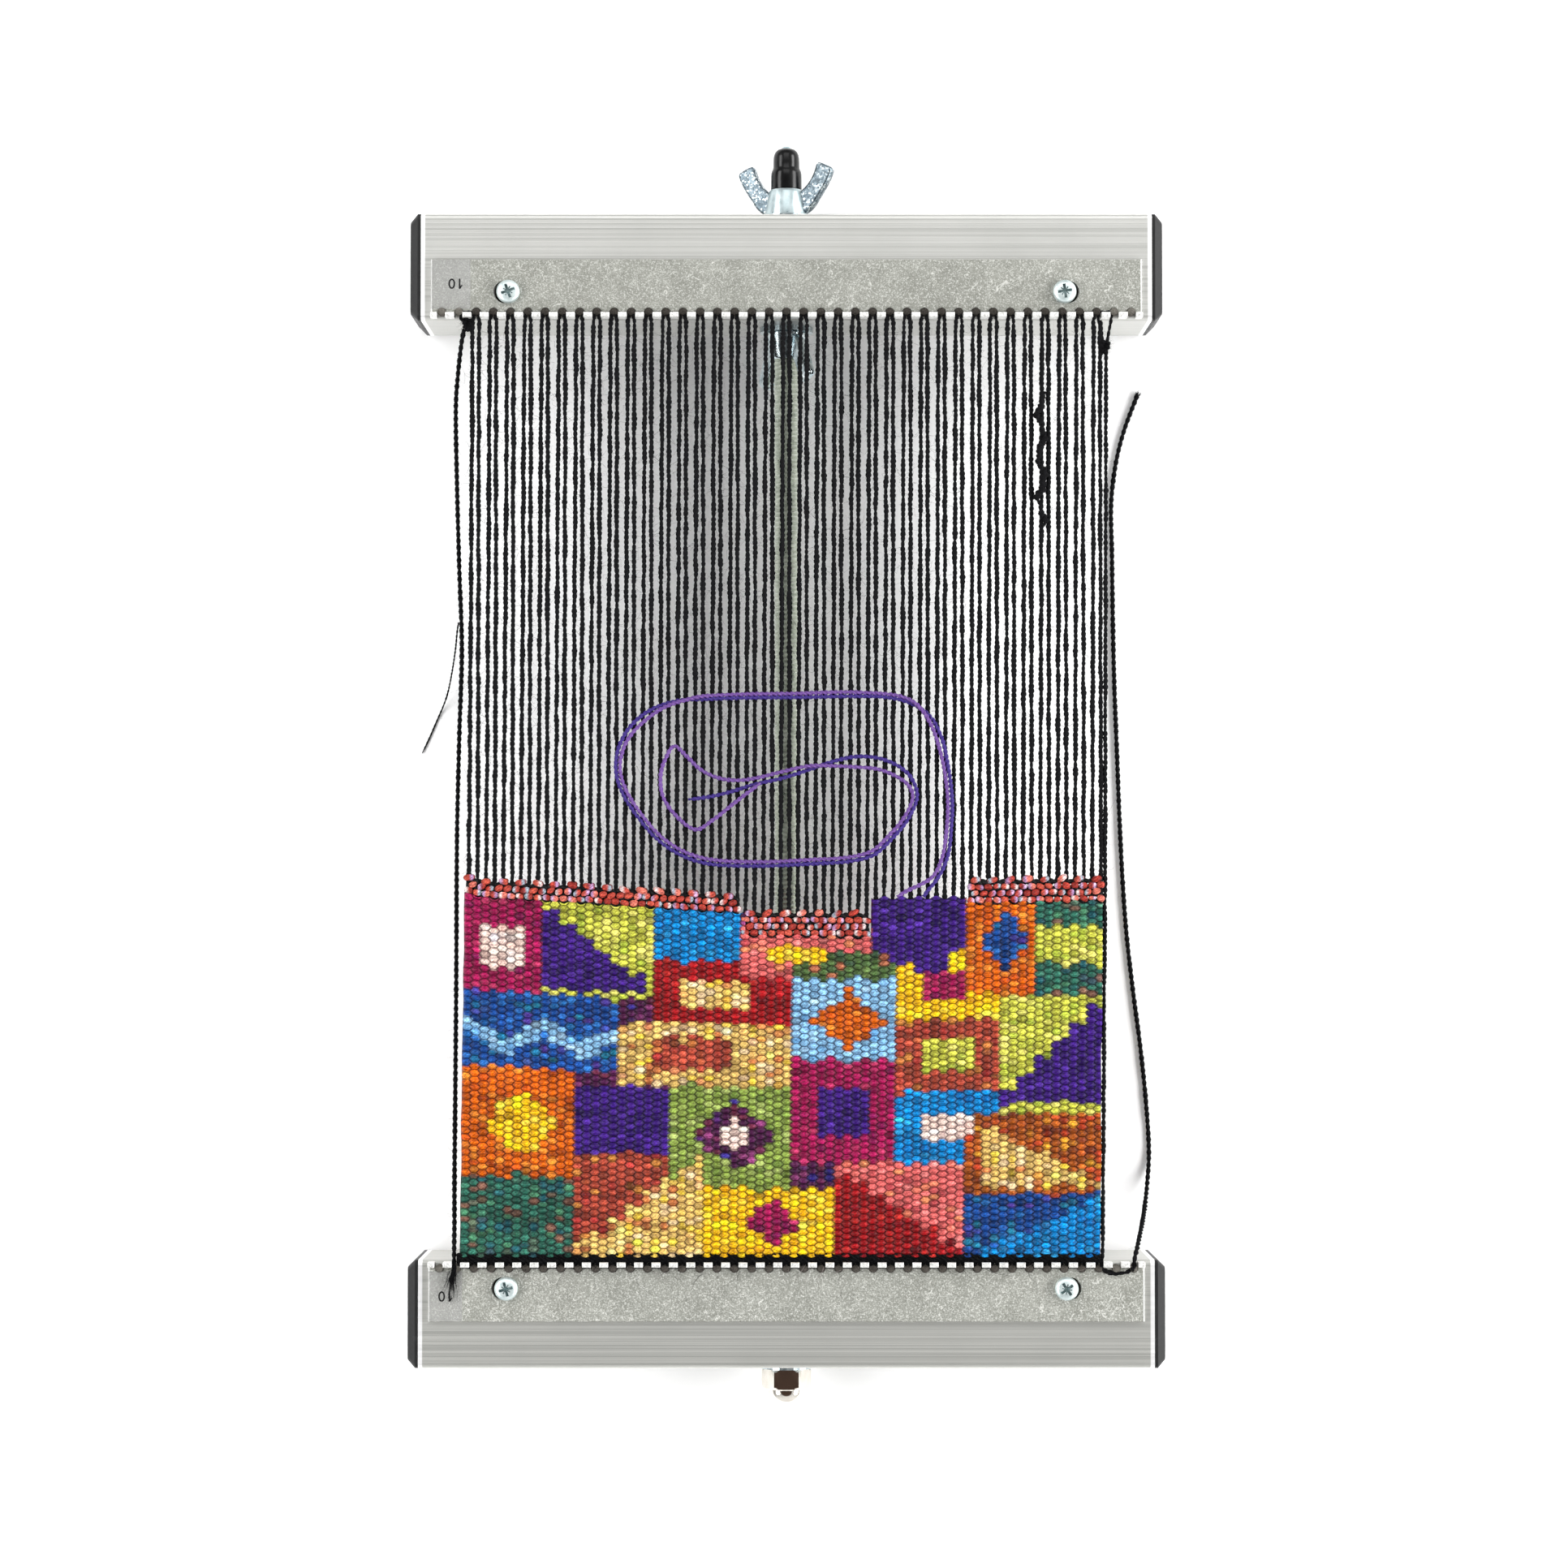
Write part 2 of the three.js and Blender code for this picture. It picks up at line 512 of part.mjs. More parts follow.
function capNut() {
  const dome = new THREE.SphereGeometry(CAP_NUT_DOME_DIAMETER / 2, 18, 8);
  dome.scale(1, CAP_NUT_DOME / (CAP_NUT_DOME_DIAMETER / 2), 1).translate(0, CAP_NUT_HEX, 0);
  const body = joined(hexAlongY(NUT_ACROSS_FLATS, 0, CAP_NUT_HEX), dome);
  const boreDepth = ROD_BELOW - WASHER_THICKNESS + 2 * YARN_GAP;
  return cutFrom(body, threadHole(-1, boreDepth));
}

function vinylCap() {
  const bore = ROD_DIAMETER / 2 + THREAD_CLEARANCE;
  const skirt = VINYL_SKIRT / 2;
  const top = VINYL_TOP / 2;
  const boreEnd = outerFace + ROD_ABOVE - vinylStart + YARN_GAP;
  const profile = [
    [bore, 0], [skirt, 0], [skirt, VINYL_STEP], [top, VINYL_STEP + 1.2], [top, VINYL_LENGTH - 2.6],
    [0.86 * top, VINYL_LENGTH - 1.2], [0.5 * top, VINYL_LENGTH - 0.4], [0, VINYL_LENGTH],
    [0, VINYL_LENGTH - 2 * VINYL_WALL], [top - VINYL_WALL - 0.5, VINYL_LENGTH - 2 * VINYL_WALL - 1],
    [top - VINYL_WALL, boreEnd + 1], [bore, boreEnd],
  ].map(([radius, height]) => new THREE.Vector2(radius, height));
  profile.push(profile[0].clone());
  return new THREE.LatheGeometry(profile, 16);
}

function rodAssembly() {
  const group = new THREE.Group();
  group.position.z = rodHeight;
  group.add(piece('threaded_rod', rod(), ZINC));
  const place = (name, shape, look, start, upsideDown, turn = 0) => {
    const mesh = piece(name, shape, look);
    mesh.position.y = start;
    mesh.rotation.set(upsideDown ? Math.PI : 0, THREE.MathUtils.degToRad(turn), 0, 'YXZ');
    group.add(mesh);
  };
  const nutInside = innerFace - WASHER_THICKNESS - 2 * SEAT;
  place('upper_outer_washer', washer(), ZINC, outerFace + SEAT, false);
  place('upper_inner_washer', washer(), ZINC, innerFace - SEAT, true);
  place('lower_inner_washer', washer(), ZINC, -innerFace + SEAT, false);
  place('lower_outer_washer', washer(), ZINC, -outerFace - SEAT, true);
  place('lock_wing_nut', wingNut(), ZINC, hubStart, false, OUTER_WINGS_TURN);
  place('tension_wing_nut', wingNut(), ZINC, nutInside, true, INNER_WINGS_TURN);
  place('lower_jam_nut', jamNut(), ZINC, -nutInside, false);
  place('cap_nut', capNut(), NICKEL, -capNutStart, true, CAP_NUT_TURN);
  place('rod_cap', vinylCap(), BLACK_VINYL, vinylStart, false);
  return group;
}

// Warp threads: places across the loom of the notches, the fell, the hem and the combs
const firstNotch = -(WARP_PAIRS - 1) / 2;
const loopReach = lipOuter + YARN_GAP / 4 + warpRadius;

function column(thread) {
  return (thread - (2 * WARP_PAIRS - 1) / 2) * warpPitch;
}

function upperPlace(thread) {
  const notchPlace = (firstNotch + Math.floor(thread / 2)) * DENT;
  return notchPlace + (thread % 2 ? PAIR_HALF_SPACING : -PAIR_HALF_SPACING);
}

function lowerPlace(thread) {
  const pair = Math.floor(thread / 2);
  const notchPlace = (firstNotch + pair - (thread % 2 ? 0 : 1)) * DENT;
  return notchPlace + (thread % 2 ? -PAIR_HALF_SPACING : PAIR_HALF_SPACING);
}

const lastThread = 2 * WARP_PAIRS - 1;
const startTooth = (firstNotch - 0.5) * DENT;
const endTooth = -startTooth;
const startKnotPlace = [startTooth, lipInner - START_KNOT_DROP];
const endKnotPlace = [endTooth - 0.2, lipInner - END_KNOT_DROP];

function threadRoute(thread) {
  const down = [
    [upperPlace(thread), loopReach],
    [column(thread) - DRIFT_AT_FELL, fellKink],
    [column(thread) - DRIFT_AT_HEM, clothBottom - YARN_GAP],
    [lowerPlace(thread), -lipInner + YARN_GAP],
    [lowerPlace(thread), -loopReach],
  ];
  const belowKnot = KNOT_SIZE / 2 + 2 * YARN_GAP;
  if (thread === 0) down[0] = [startKnotPlace[0] + 0.7, startKnotPlace[1] - belowKnot];
  if (thread === lastThread) down[0] = [endKnotPlace[0] - 0.7, endKnotPlace[1] - belowKnot];
  return thread % 2 ? down.reverse() : down;
}

function warpRoute() {
  return Array.from({ length: lastThread + 1 }, (_, thread) => threadRoute(thread)).flat();
}

function leastGapToItself(points, diameter) {
  const spacing = 0.5;
  const samples = [];
  let run = 0;
  for (let place = 1; place < points.length; place++) {
    const from = new THREE.Vector2(...points[place - 1]);
    const to = new THREE.Vector2(...points[place]);
    const count = Math.ceil(from.distanceTo(to) / spacing);
    for (let step = 0; step < count; step++) {
      const point = from.clone().lerp(to, step / count);
      samples.push({ point, run: run + from.distanceTo(point) });
    }
    run += from.distanceTo(to);
  }
  const cells = new Map();
  let least = Infinity;
  const cellOf = (value) => Math.floor(value / 3);
  for (const sample of samples) {
    const [gridColumn, row] = [cellOf(sample.point.x), cellOf(sample.point.y)];
    for (let i = gridColumn - 1; i <= gridColumn + 1; i++) {
      for (let j = row - 1; j <= row + 1; j++) {
        for (const other of cells.get(`${i},${j}`) ?? []) {
          if (sample.run - other.run > 4) least = Math.min(least, sample.point.distanceTo(other.point));
        }
      }
    }
    const key = `${gridColumn},${row}`;
    if (!cells.has(key)) cells.set(key, []);
    cells.get(key).push(sample);
  }
  return least - diameter;
}

// Cloth: a slab with a stepped fell and a channel round each warp thread
function channel(thread) {
  const half = warpRadius + CHANNEL_CLEARANCE;
  const hem = new THREE.Vector2(column(thread) - DRIFT_AT_HEM, clothBottom - YARN_GAP);
  const fell = new THREE.Vector2(column(thread) - DRIFT_AT_FELL, fellKink);
  const along = fell.clone().sub(hem).multiplyScalar(0.01);
  const [from, to] = [hem.sub(along), fell.add(along)];
  const shape = new THREE.Shape([
    new THREE.Vector2(from.x - half, from.y), new THREE.Vector2(from.x + half, from.y),
    new THREE.Vector2(to.x + half, to.y), new THREE.Vector2(to.x - half, to.y),
  ]);
  const depth = 2 * half;
  return new THREE.ExtrudeGeometry(shape, { depth, bevelEnabled: false }).translate(0, 0, warpHeight - half);
}

function cloth() {
  const left = column(0) - CLOTH_LEFT_MARGIN;
  const right = column(lastThread) + CLOTH_RIGHT_MARGIN;
  const outline = [
    [left - DRIFT_AT_HEM + 0.3, clothBottom], [right - DRIFT_AT_HEM, clothBottom],
    [right - DRIFT_AT_FELL, -innerFace + FELL_RIGHT_HEIGHT],
    ...FELL.toReversed().map(([x, height]) => [x, height - innerFace]),
    [left - DRIFT_AT_FELL, -innerFace + FELL_LEFT_HEIGHT],
  ].map(([x, y]) => new THREE.Vector2(x, y));
  const options = { depth: CLOTH_THICKNESS, bevelEnabled: false };
  const slab = new THREE.ExtrudeGeometry(new THREE.Shape(outline), options);
  const body = solid(slab.translate(0, 0, warpHeight - CLOTH_THICKNESS / 2));
  const channels = Array.from({ length: lastThread + 1 }, (_, thread) => channel(thread));
  return cutFrom(body, ...channels);
}

// Header: black rows that pass in front of and behind all the threads under the cloth
function header() {
  const middle = (clothBottom - YARN_GAP / 2 - lipInner) / 2;
  const left = lowerPlace(0) - warpRadius - SEAT;
  const right = column(lastThread) - DRIFT_AT_HEM + warpRadius;
  const across = right - left;
  const ring = box(across + 2 * HEADER_WALL, HEADER_HEIGHT, HEADER_THICKNESS, (left + right) / 2, middle, warpHeight);
  const passage = box(across, HEADER_HEIGHT + 1, 2 * (warpRadius + 0.1), (left + right) / 2, middle, warpHeight);
  return cutFrom(solid(ring), passage);
}

// Knots: a yarn loop round a tooth of the upper comb, drawn into a knot under it
function knot(toothPlace, [knotX, knotY]) {
  const side = (DENT - NOTCH_WIDTH) / 2 + YARN_GAP / 4 + warpRadius;
  const legEnd = knotY + KNOT_SIZE / 4;
  const bend = Math.max(legEnd + 0.4, lipInner - 0.7);
  const loop = flatTube([
    [knotX - 0.5, legEnd], [toothPlace - side, bend], [toothPlace - side, loopReach],
    [toothPlace + side, loopReach], [toothPlace + side, bend], [knotX + 0.5, legEnd],
  ], warpHeight, WARP_DIAMETER, 6);
  const body = new THREE.SphereGeometry(KNOT_SIZE / 2, 10, 6).rotateX(Math.PI / 2);
  return joined(loop, body.scale(0.75, 1, 0.8).translate(knotX, knotY, warpHeight));
}

// Edge strand: from the end knot down beside the cloth, then round two teeth of the lower comb
function edgeStrandRoute() {
  const clothRight = column(lastThread) + CLOTH_RIGHT_MARGIN + YARN_GAP + WARP_DIAMETER / 2;
  const notchPlace = -firstNotch * DENT;
  return [
    [endKnotPlace[0] + 0.75, endKnotPlace[1] - KNOT_SIZE / 2 - 2 * YARN_GAP],
    [clothRight - DRIFT_AT_FELL, fellKink],
    [clothRight - DRIFT_AT_HEM, clothBottom - YARN_GAP],
    [notchPlace + STRAND_OFFSET, -lipInner + YARN_GAP],
    [notchPlace + STRAND_OFFSET, -loopReach + 0.2],
    [notchPlace + 0.4 * DENT, -loopReach - 0.9],
    [notchPlace + 0.9 * DENT, -loopReach - 1.6],
    [notchPlace + 1.5 * DENT, -loopReach - 1.3],
    [notchPlace + 1.8 * DENT, -loopReach - 0.65],
  ];
}

function yarns() {
  const group = new THREE.Group();
  const route = warpRoute();
  const gap = leastGapToItself(route, WARP_DIAMETER);
  console.log(`least gap of the warp thread to itself: ${gap.toFixed(2)} mm`);
  group.add(piece('warp_thread', flatTube(route, warpHeight, WARP_DIAMETER), BLACK_YARN));
  group.add(piece('weaving', cloth(), CLOTH_YARN));
  group.add(piece('header_rows', header(), BLACK_YARN));
  group.add(piece('start_knot', knot(startTooth, startKnotPlace), BLACK_YARN));
  group.add(piece('end_knot', knot(endTooth, endKnotPlace), BLACK_YARN));
  group.add(piece('edge_strand', flatTube(edgeStrandRoute(), warpHeight, WARP_DIAMETER, 6), BLACK_YARN));
  group.add(piece('warp_tail_right', cord(TAIL_RIGHT_ROUTE, TAIL_DIAMETER, STEPS_PER_TAIL), BLACK_YARN));
  group.add(piece('warp_tail_left', cord(TAIL_LEFT_ROUTE, TAIL_DIAMETER, STEPS_PER_TAIL), BLACK_YARN));
  group.add(piece('warp_ply_left', cord(PLY_ROUTE, PLY_DIAMETER, STEPS_PER_PLY), BLACK_YARN));
  group.add(piece('weft_tail_dark', cord(WEFT_DARK_ROUTE, WEFT_DIAMETER, STEPS_PER_WEFT), PURPLE_YARN));
  group.add(piece('weft_tail_light', cord(WEFT_LIGHT_ROUTE, WEFT_DIAMETER, STEPS_PER_WEFT), LILAC_YARN));
  return group;
}

const loom = new THREE.Group();
const upper = barAssembly('upper', ['left', 'right'], [20, 8]);
const lower = barAssembly('lower', ['right', 'left'], [35, 15]);
lower.rotation.z = Math.PI;
loom.add(upper, lower, rodAssembly(), yarns());
loom.position.y = -(highest + lowest) / 2;

export default new THREE.Group().add(loom);
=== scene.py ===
"""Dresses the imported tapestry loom: fine metalwork, twisted yarns and a woven cloth in relief."""
import math

import bmesh
import bpy
import numpy as np
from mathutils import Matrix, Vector

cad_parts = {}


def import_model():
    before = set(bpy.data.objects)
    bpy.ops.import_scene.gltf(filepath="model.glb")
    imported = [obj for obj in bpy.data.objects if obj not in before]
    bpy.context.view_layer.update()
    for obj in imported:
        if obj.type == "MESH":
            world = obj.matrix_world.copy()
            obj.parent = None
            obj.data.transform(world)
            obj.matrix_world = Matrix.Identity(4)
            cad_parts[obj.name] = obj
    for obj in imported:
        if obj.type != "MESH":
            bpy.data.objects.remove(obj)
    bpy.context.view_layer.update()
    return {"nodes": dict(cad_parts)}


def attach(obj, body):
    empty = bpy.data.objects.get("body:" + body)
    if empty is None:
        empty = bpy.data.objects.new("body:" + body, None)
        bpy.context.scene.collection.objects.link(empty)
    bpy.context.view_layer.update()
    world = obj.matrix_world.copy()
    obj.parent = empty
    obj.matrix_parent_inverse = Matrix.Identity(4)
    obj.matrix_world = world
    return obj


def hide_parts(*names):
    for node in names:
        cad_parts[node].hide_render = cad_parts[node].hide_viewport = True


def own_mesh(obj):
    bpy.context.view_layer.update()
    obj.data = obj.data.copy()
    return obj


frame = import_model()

MM = 0.001
SHIFT_Y = -4.625          # the CAD group's move along Y, in millimetres, as all lengths here without a note
ROD_Z = 15.875            # height of the rod's axis, in millimetres
random = np.random.default_rng(41)
LIT = 0.5                 # the lamps show a matt surface about twice as bright as its own colour


# ---------------------------------------------------------------- camera
def make_camera():
    """The photograph's view."""
    data = bpy.data.cameras.new("camera")
    data.lens = 85.42
    data.sensor_width = 36
    data.clip_start = 0.05
    data.clip_end = 20
    camera = bpy.data.objects.new("camera", data)
    camera.location = (-0.0007, -0.0335, 1.12575)
    camera.rotation_euler = (0.0276, 0, 0)
    bpy.context.scene.collection.objects.link(camera)
    bpy.context.scene.camera = camera


make_camera()


# ---------------------------------------------------------------- materials
def linear(hex_colour):
    """Linear RGBA of an sRGB hex number."""
    channels = [(hex_colour >> shift & 255) / 255 for shift in (16, 8, 0)]
    return [c / 12.92 if c <= 0.04045 else ((c + 0.055) / 1.055) ** 2.4 for c in channels] + [1.0]


def tint(hex_colour, share=LIT):
    """The colour a surface needs to be seen as this hex number under the lamps."""
    return [c * share for c in linear(hex_colour)[:3]] + [1.0]


class Nodes:
    """Adds nodes to a shader tree."""

    def __init__(self, tree):
        self.tree = tree

    def node(self, kind, **settings):
        node = self.tree.nodes.new(kind)
        for key, value in settings.items():
            setattr(node, key, value)
        return node

    def link(self, source, target):
        self.tree.links.new(source, target)

    def feed(self, *pairs):
        """Each socket gets a plain value or a link."""
        for socket, value in pairs:
            if isinstance(value, (int, float, list, tuple)):
                socket.default_value = value
            else:
                self.link(value, socket)

    def split(self, vector):
        node = self.node("ShaderNodeSeparateXYZ")
        self.link(vector, node.inputs[0])
        return node.outputs

    def maths(self, operation, a, b):
        node = self.node("ShaderNodeMath", operation=operation)
        self.feed((node.inputs[0], a), (node.inputs[1], b))
        return node.outputs[0]


class Look(Nodes):
    """A procedural material on a Principled shader."""

    def __init__(self, name, colour, roughness, metallic=0.0, **fixed):
        self.material = bpy.data.materials.new(name)
        self.material.use_nodes = True
        super().__init__(self.material.node_tree)
        self.shader = self.tree.nodes["Principled BSDF"]
        self.shader.inputs["Base Color"].default_value = colour
        self.shader.inputs["Roughness"].default_value = roughness
        self.shader.inputs["Metallic"].default_value = metallic
        for socket, value in fixed.items():
            self.shader.inputs[socket.replace("_", " ")].default_value = value
        self.material.diffuse_color = colour

    def space(self, scale=(1, 1, 1), turn=(0, 0, 0)):
        coordinates = self.node("ShaderNodeTexCoord")
        mapping = self.node("ShaderNodeMapping")
        mapping.inputs["Scale"].default_value = scale
        mapping.inputs["Rotation"].default_value = turn
        self.link(coordinates.outputs["Object"], mapping.inputs["Vector"])
        return mapping.outputs["Vector"]

    def noise(self, space, scale, detail=3.0, roughness=0.55, distortion=0.0):
        node = self.node("ShaderNodeTexNoise")
        node.inputs["Scale"].default_value = scale
        node.inputs["Detail"].default_value = detail
        node.inputs["Roughness"].default_value = roughness
        node.inputs["Distortion"].default_value = distortion
        self.link(space, node.inputs["Vector"])
        return node.outputs["Fac"]

    def wave(self, space, scale, distortion, detail):
        node = self.node("ShaderNodeTexWave", wave_type="BANDS", bands_direction="X")
        node.inputs["Scale"].default_value = scale
        node.inputs["Distortion"].default_value = distortion
        node.inputs["Detail"].default_value = detail
        self.link(space, node.inputs["Vector"])
        return node.outputs["Fac"]

    def ramp(self, factor, *stops):
        node = self.node("ShaderNodeValToRGB")
        elements = node.color_ramp.elements
        while len(elements) < len(stops):
            elements.new(0.5)
        for element, (position, value) in zip(elements, stops):
            element.position = position
            element.color = value if isinstance(value, (list, tuple)) else (value, value, value, 1)
        self.link(factor, node.inputs["Fac"])
        return node.outputs["Color"]

    def mix(self, factor, a, b, blend="MIX"):
        node = self.node("ShaderNodeMix", data_type="RGBA", blend_type=blend)
        self.feed((node.inputs[0], factor), (node.inputs[6], a), (node.inputs[7], b))
        return node.outputs[2]

    def bump(self, height, strength, distance):
        node = self.node("ShaderNodeBump")
        node.inputs["Strength"].default_value = strength
        node.inputs["Distance"].default_value = distance
        self.link(height, node.inputs["Height"])
        self.link(node.outputs["Normal"], self.shader.inputs["Normal"])

    def colour(self, source):
        self.link(source, self.shader.inputs["Base Color"])

    def roughness(self, source):
        self.link(source, self.shader.inputs["Roughness"])


BAR_BRIGHT_FROM = 0.1066   # both ends of the bars turn white beyond this X, in metres
COMB_BRIGHT_FROM = 0.1044  # and both ends of the combs beyond this one, as a painted edge highlight
WHITE = (1, 1, 1, 1)


def bright_ends(look, start, *full):
    """Share of white at both ends, which begins at a distance along X and is full a little further out; on the combs
    it is a painted edge highlight.
    """
    past = look.maths("SUBTRACT", look.maths("ABSOLUTE", look.split(look.space())["X"], 0.0), start)
    return look.ramp(look.maths("MULTIPLY", past, 4000.0), (0.0, 0.0), full)


def bar_look(name, dark, light):
    """Extruded aluminium: fine lines along the bar, a faint bloom and a few darker streaks."""
    look = Look(name, linear(light), 0.42, 0.82)
    fine = look.noise(look.space((5, 3000, 3000)), 1.0, 2.0, 0.6)
    broad = look.noise(look.space((3, 2100, 2100)), 1.0, 2.0, 0.5)
    lines = look.maths("ADD", look.maths("MULTIPLY", fine, 0.5), look.maths("MULTIPLY", broad, 0.5))
    tone = look.ramp(lines, (0.3, linear(dark)), (0.54, linear(light)), (0.66, linear(light)))
    bloom = look.noise(look.space(), 38.0, 4.0, 0.6)
    tone = look.mix(look.ramp(bloom, (0.42, 0.0), (0.75, 0.25)), tone, linear(dark))
    look.colour(look.mix(bright_ends(look, BAR_BRIGHT_FROM, 1.0, 1.0), tone, WHITE))
    look.roughness(look.ramp(broad, (0.3, 0.38), (0.7, 0.46)))
    look.bump(fine, 0.2, 0.0001)
    return look.material


def comb_look(name, share):
    """Tumbled aluminium: fine matte grain with pale specks, curled nicks and short scratches."""
    def tone_of(hex_colour):
        return tint(hex_colour, share)

    look = Look(name, tone_of(0xA9AAA3), 0.5, 0.7)
    broad = look.noise(look.space(), 110.0, 3.0, 0.6)
    grain = look.noise(look.space(), 2300.0, 3.0, 0.75)
    tone = look.ramp(broad, (0.34, tone_of(0x9A9B93)), (0.5, tone_of(0xA2A39B)), (0.68, tone_of(0xABACA4)))
    tone = look.mix(look.ramp(grain, (0.53, 0.0), (0.64, 0.75)), tone, tone_of(0xE6E7E1))
    tone = look.mix(look.ramp(grain, (0.35, 0.65), (0.46, 0.0)), tone, tone_of(0x7C7D75))
    for scale, width, share_of in ((240.0, 0.02, 0.57), (430.0, 0.026, 0.6), (150.0, 0.012, 0.58)):
        course = look.noise(look.space(), scale, 1.0, 0.5, 1.2)
        middle = look.maths("ABSOLUTE", look.maths("SUBTRACT", course, 0.5), 0.0)
        line = look.ramp(middle, (0.0, 1.0), (width, 0.0))
        where = look.ramp(look.noise(look.space((1, 1, 1), (0, 0, scale)), 190.0, 2.0, 0.6),
                          (share_of, 0.0), (share_of + 0.05, 0.72))
        tone = look.mix(look.maths("MULTIPLY", line, where), tone, tone_of(0xF2F2EC))
    # painted highlight: white along the comb's ends
    look.colour(look.mix(bright_ends(look, COMB_BRIGHT_FROM, 0.6, 0.75), tone, WHITE))
    look.roughness(look.ramp(grain, (0.3, 0.44), (0.7, 0.58)))
    look.bump(grain, 0.3, 0.0001)
    return look.material


def grained(name, base, roughness, metallic, noise, *stops, **fixed):
    """A look whose colour runs between a few tones with one noise."""
    look = Look(name, base, roughness, metallic, **fixed)
    grain = look.noise(look.space(), *noise)
    look.colour(look.ramp(grain, *stops))
    return look, grain


def teeth_highlight_look():
    """The comb's teeth, rubbed smooth by the yarn and painted near white for the highlight on their tops."""
    look, grain = grained("comb_teeth_highlight", linear(0xE4E4E2), 0.4, 0.5, (1500.0, 3.0, 0.7),
                          (0.34, linear(0xB9B9B5)), (0.5, linear(0xE6E6E3)), (0.7, linear(0xF2F2F0)))
    look.bump(grain, 0.3, 0.0001)
    return look.material


def notch_shade_look(name, dark, light):
    """Dark pads in the notches and slots: painted shade of the holes, with the grain of a little fluff."""
    return grained(name, tint(dark), 0.9, 0.0, (2300.0, 3.0, 0.7),
                   (0.35, tint(dark)), (0.7, tint(light)), Specular_IOR_Level=0.1)[0].material


def plastic_look():
    look = Look("black_plastic", tint(0x1C1C1D), 0.5, 0.0, Specular_IOR_Level=0.3)
    grain = look.noise(look.space(), 2600.0, 3.0, 0.6)
    dust = look.noise(look.space(), 420.0, 4.0, 0.7)
    look.colour(look.mix(look.ramp(dust, (0.58, 0.0), (0.76, 0.5)), tint(0x1B1B1C), tint(0x4A4A4B)))
    look.roughness(look.ramp(dust, (0.35, 0.42), (0.7, 0.6)))
    look.bump(grain, 0.3, 0.00008)
    return look.material


def zinc_look(name, sparkle, dark=0x93A2A8, light=0xC9D2D4, roughness=(0.18, 0.34), metallic=1.0):
    """Bright zinc plate, bluish, with the texture of the cast or stamped metal under it."""
    look = Look(name, linear(dark), 0.26, metallic)
    cloud = look.noise(look.space(), 420.0, 3.0, 0.6)
    tone = look.ramp(cloud, (0.3, linear(dark)), (0.7, linear(light)))
    if sparkle:
        crystals = look.node("ShaderNodeTexVoronoi", feature="F1")
        crystals.inputs["Scale"].default_value = 1900.0
        look.link(look.space(), crystals.inputs["Vector"])
        flake = look.node("ShaderNodeSeparateColor")
        look.link(crystals.outputs["Color"], flake.inputs[0])
        tone = look.mix(look.ramp(flake.outputs[0], (0.2, 0.8), (0.45, 0.0)), tone, linear(0x4F5B62))
        tone = look.mix(look.ramp(flake.outputs[0], (0.78, 0.0), (0.9, 0.8)), tone, linear(0xD5DCDD))
        look.bump(flake.outputs[1], 0.5, 0.0002)
        look.roughness(look.ramp(flake.outputs[2], (0.1, 0.2), (0.9, 0.5)))
    else:
        look.bump(look.noise(look.space(), 1300.0, 3.0, 0.6), 0.06, 0.0001)
        look.roughness(look.ramp(cloud, (0.3, roughness[0]), (0.7, roughness[1])))
    look.colour(tone)
    return look.material


def recess_shade_look():
    """The screws' recesses, painted darker as the shade in them."""
    return grained("recess_shade_zinc", linear(0x8FA3A4), 0.5, 0.4, (1800.0,),
                   (0.3, linear(0x70888A)), (0.7, linear(0xB4C6C6)))[0].material


def rod_look():
    """Threaded zinc rod: greenish-grey with a thin film of oil and dust."""
    look = Look("rod_zinc", linear(0xDCE1D7), 0.38, 0.88)
    film = look.noise(look.space((1, 0.35, 1)), 620.0, 4.0, 0.65)
    fine = look.noise(look.space(), 2400.0, 3.0, 0.7)
    tone = look.ramp(film, (0.34, linear(0xC4CABF)), (0.54, linear(0xDEE3D8)), (0.75, linear(0xEFF2EA)))
    look.colour(look.mix(look.ramp(fine, (0.55, 0.0), (0.75, 0.4)), tone, linear(0x7E837B)))
    look.roughness(look.ramp(film, (0.3, 0.26), (0.7, 0.42)))
    look.bump(fine, 0.25, 0.0001)
    return look.material


def nickel_look():
    """Polished nickel: nearly white, with a painted dark reflection on every face that points up, such as the nut's
    front face.
    """
    look = Look("bright_nickel", linear(0xE2DDD4), 0.1, 0.74)
    smear = look.noise(look.space(), 300.0, 3.0, 0.6)
    tone = look.ramp(smear, (0.3, linear(0xD6D0C6)), (0.7, linear(0xEAE6DE)))
    # painted reflection: faces whose normal points up are coloured dark brown
    up = look.split(look.node("ShaderNodeNewGeometry").outputs["Normal"])["Z"]
    look.colour(look.mix(look.ramp(up, (0.94, 0.0), (0.955, 1.0)), tone, linear(0x5A463A)))
    look.roughness(look.ramp(smear, (0.3, 0.07), (0.75, 0.18)))
    look.bump(smear, 0.08, 0.0001)
    return look.material


def vinyl_look():
    look, uneven = grained("black_vinyl", tint(0x0C0C0D), 0.2, 0.0, (260.0, 2.0, 0.5),
                           (0.3, tint(0x070708)), (0.75, tint(0x161617)), Specular_IOR_Level=0.22)
    look.roughness(look.ramp(uneven, (0.3, 0.14), (0.75, 0.28)))
    look.bump(uneven, 0.2, 0.0003)
    return look.material


def yarn_look(name, dark, light, roughness, shine):
    """Spun yarn: fibres across the twist, with lighter tips."""
    look = Look(name, tint(dark), roughness, 0.0, Specular_IOR_Level=shine)
    fibres = look.noise(look.space((1, 0.45, 1), (0.0, 0.0, 0.6)), 5200.0, 3.0, 0.7)
    thick = look.noise(look.space(), 900.0, 3.0, 0.6)
    tone = look.ramp(fibres, (0.36, tint(dark)), (0.7, tint(light)))
    look.colour(look.mix(look.ramp(thick, (0.4, 0.0), (0.8, 0.35)), tone, tint(dark)))
    look.bump(fibres, 0.6, 0.00025)
    return look.material


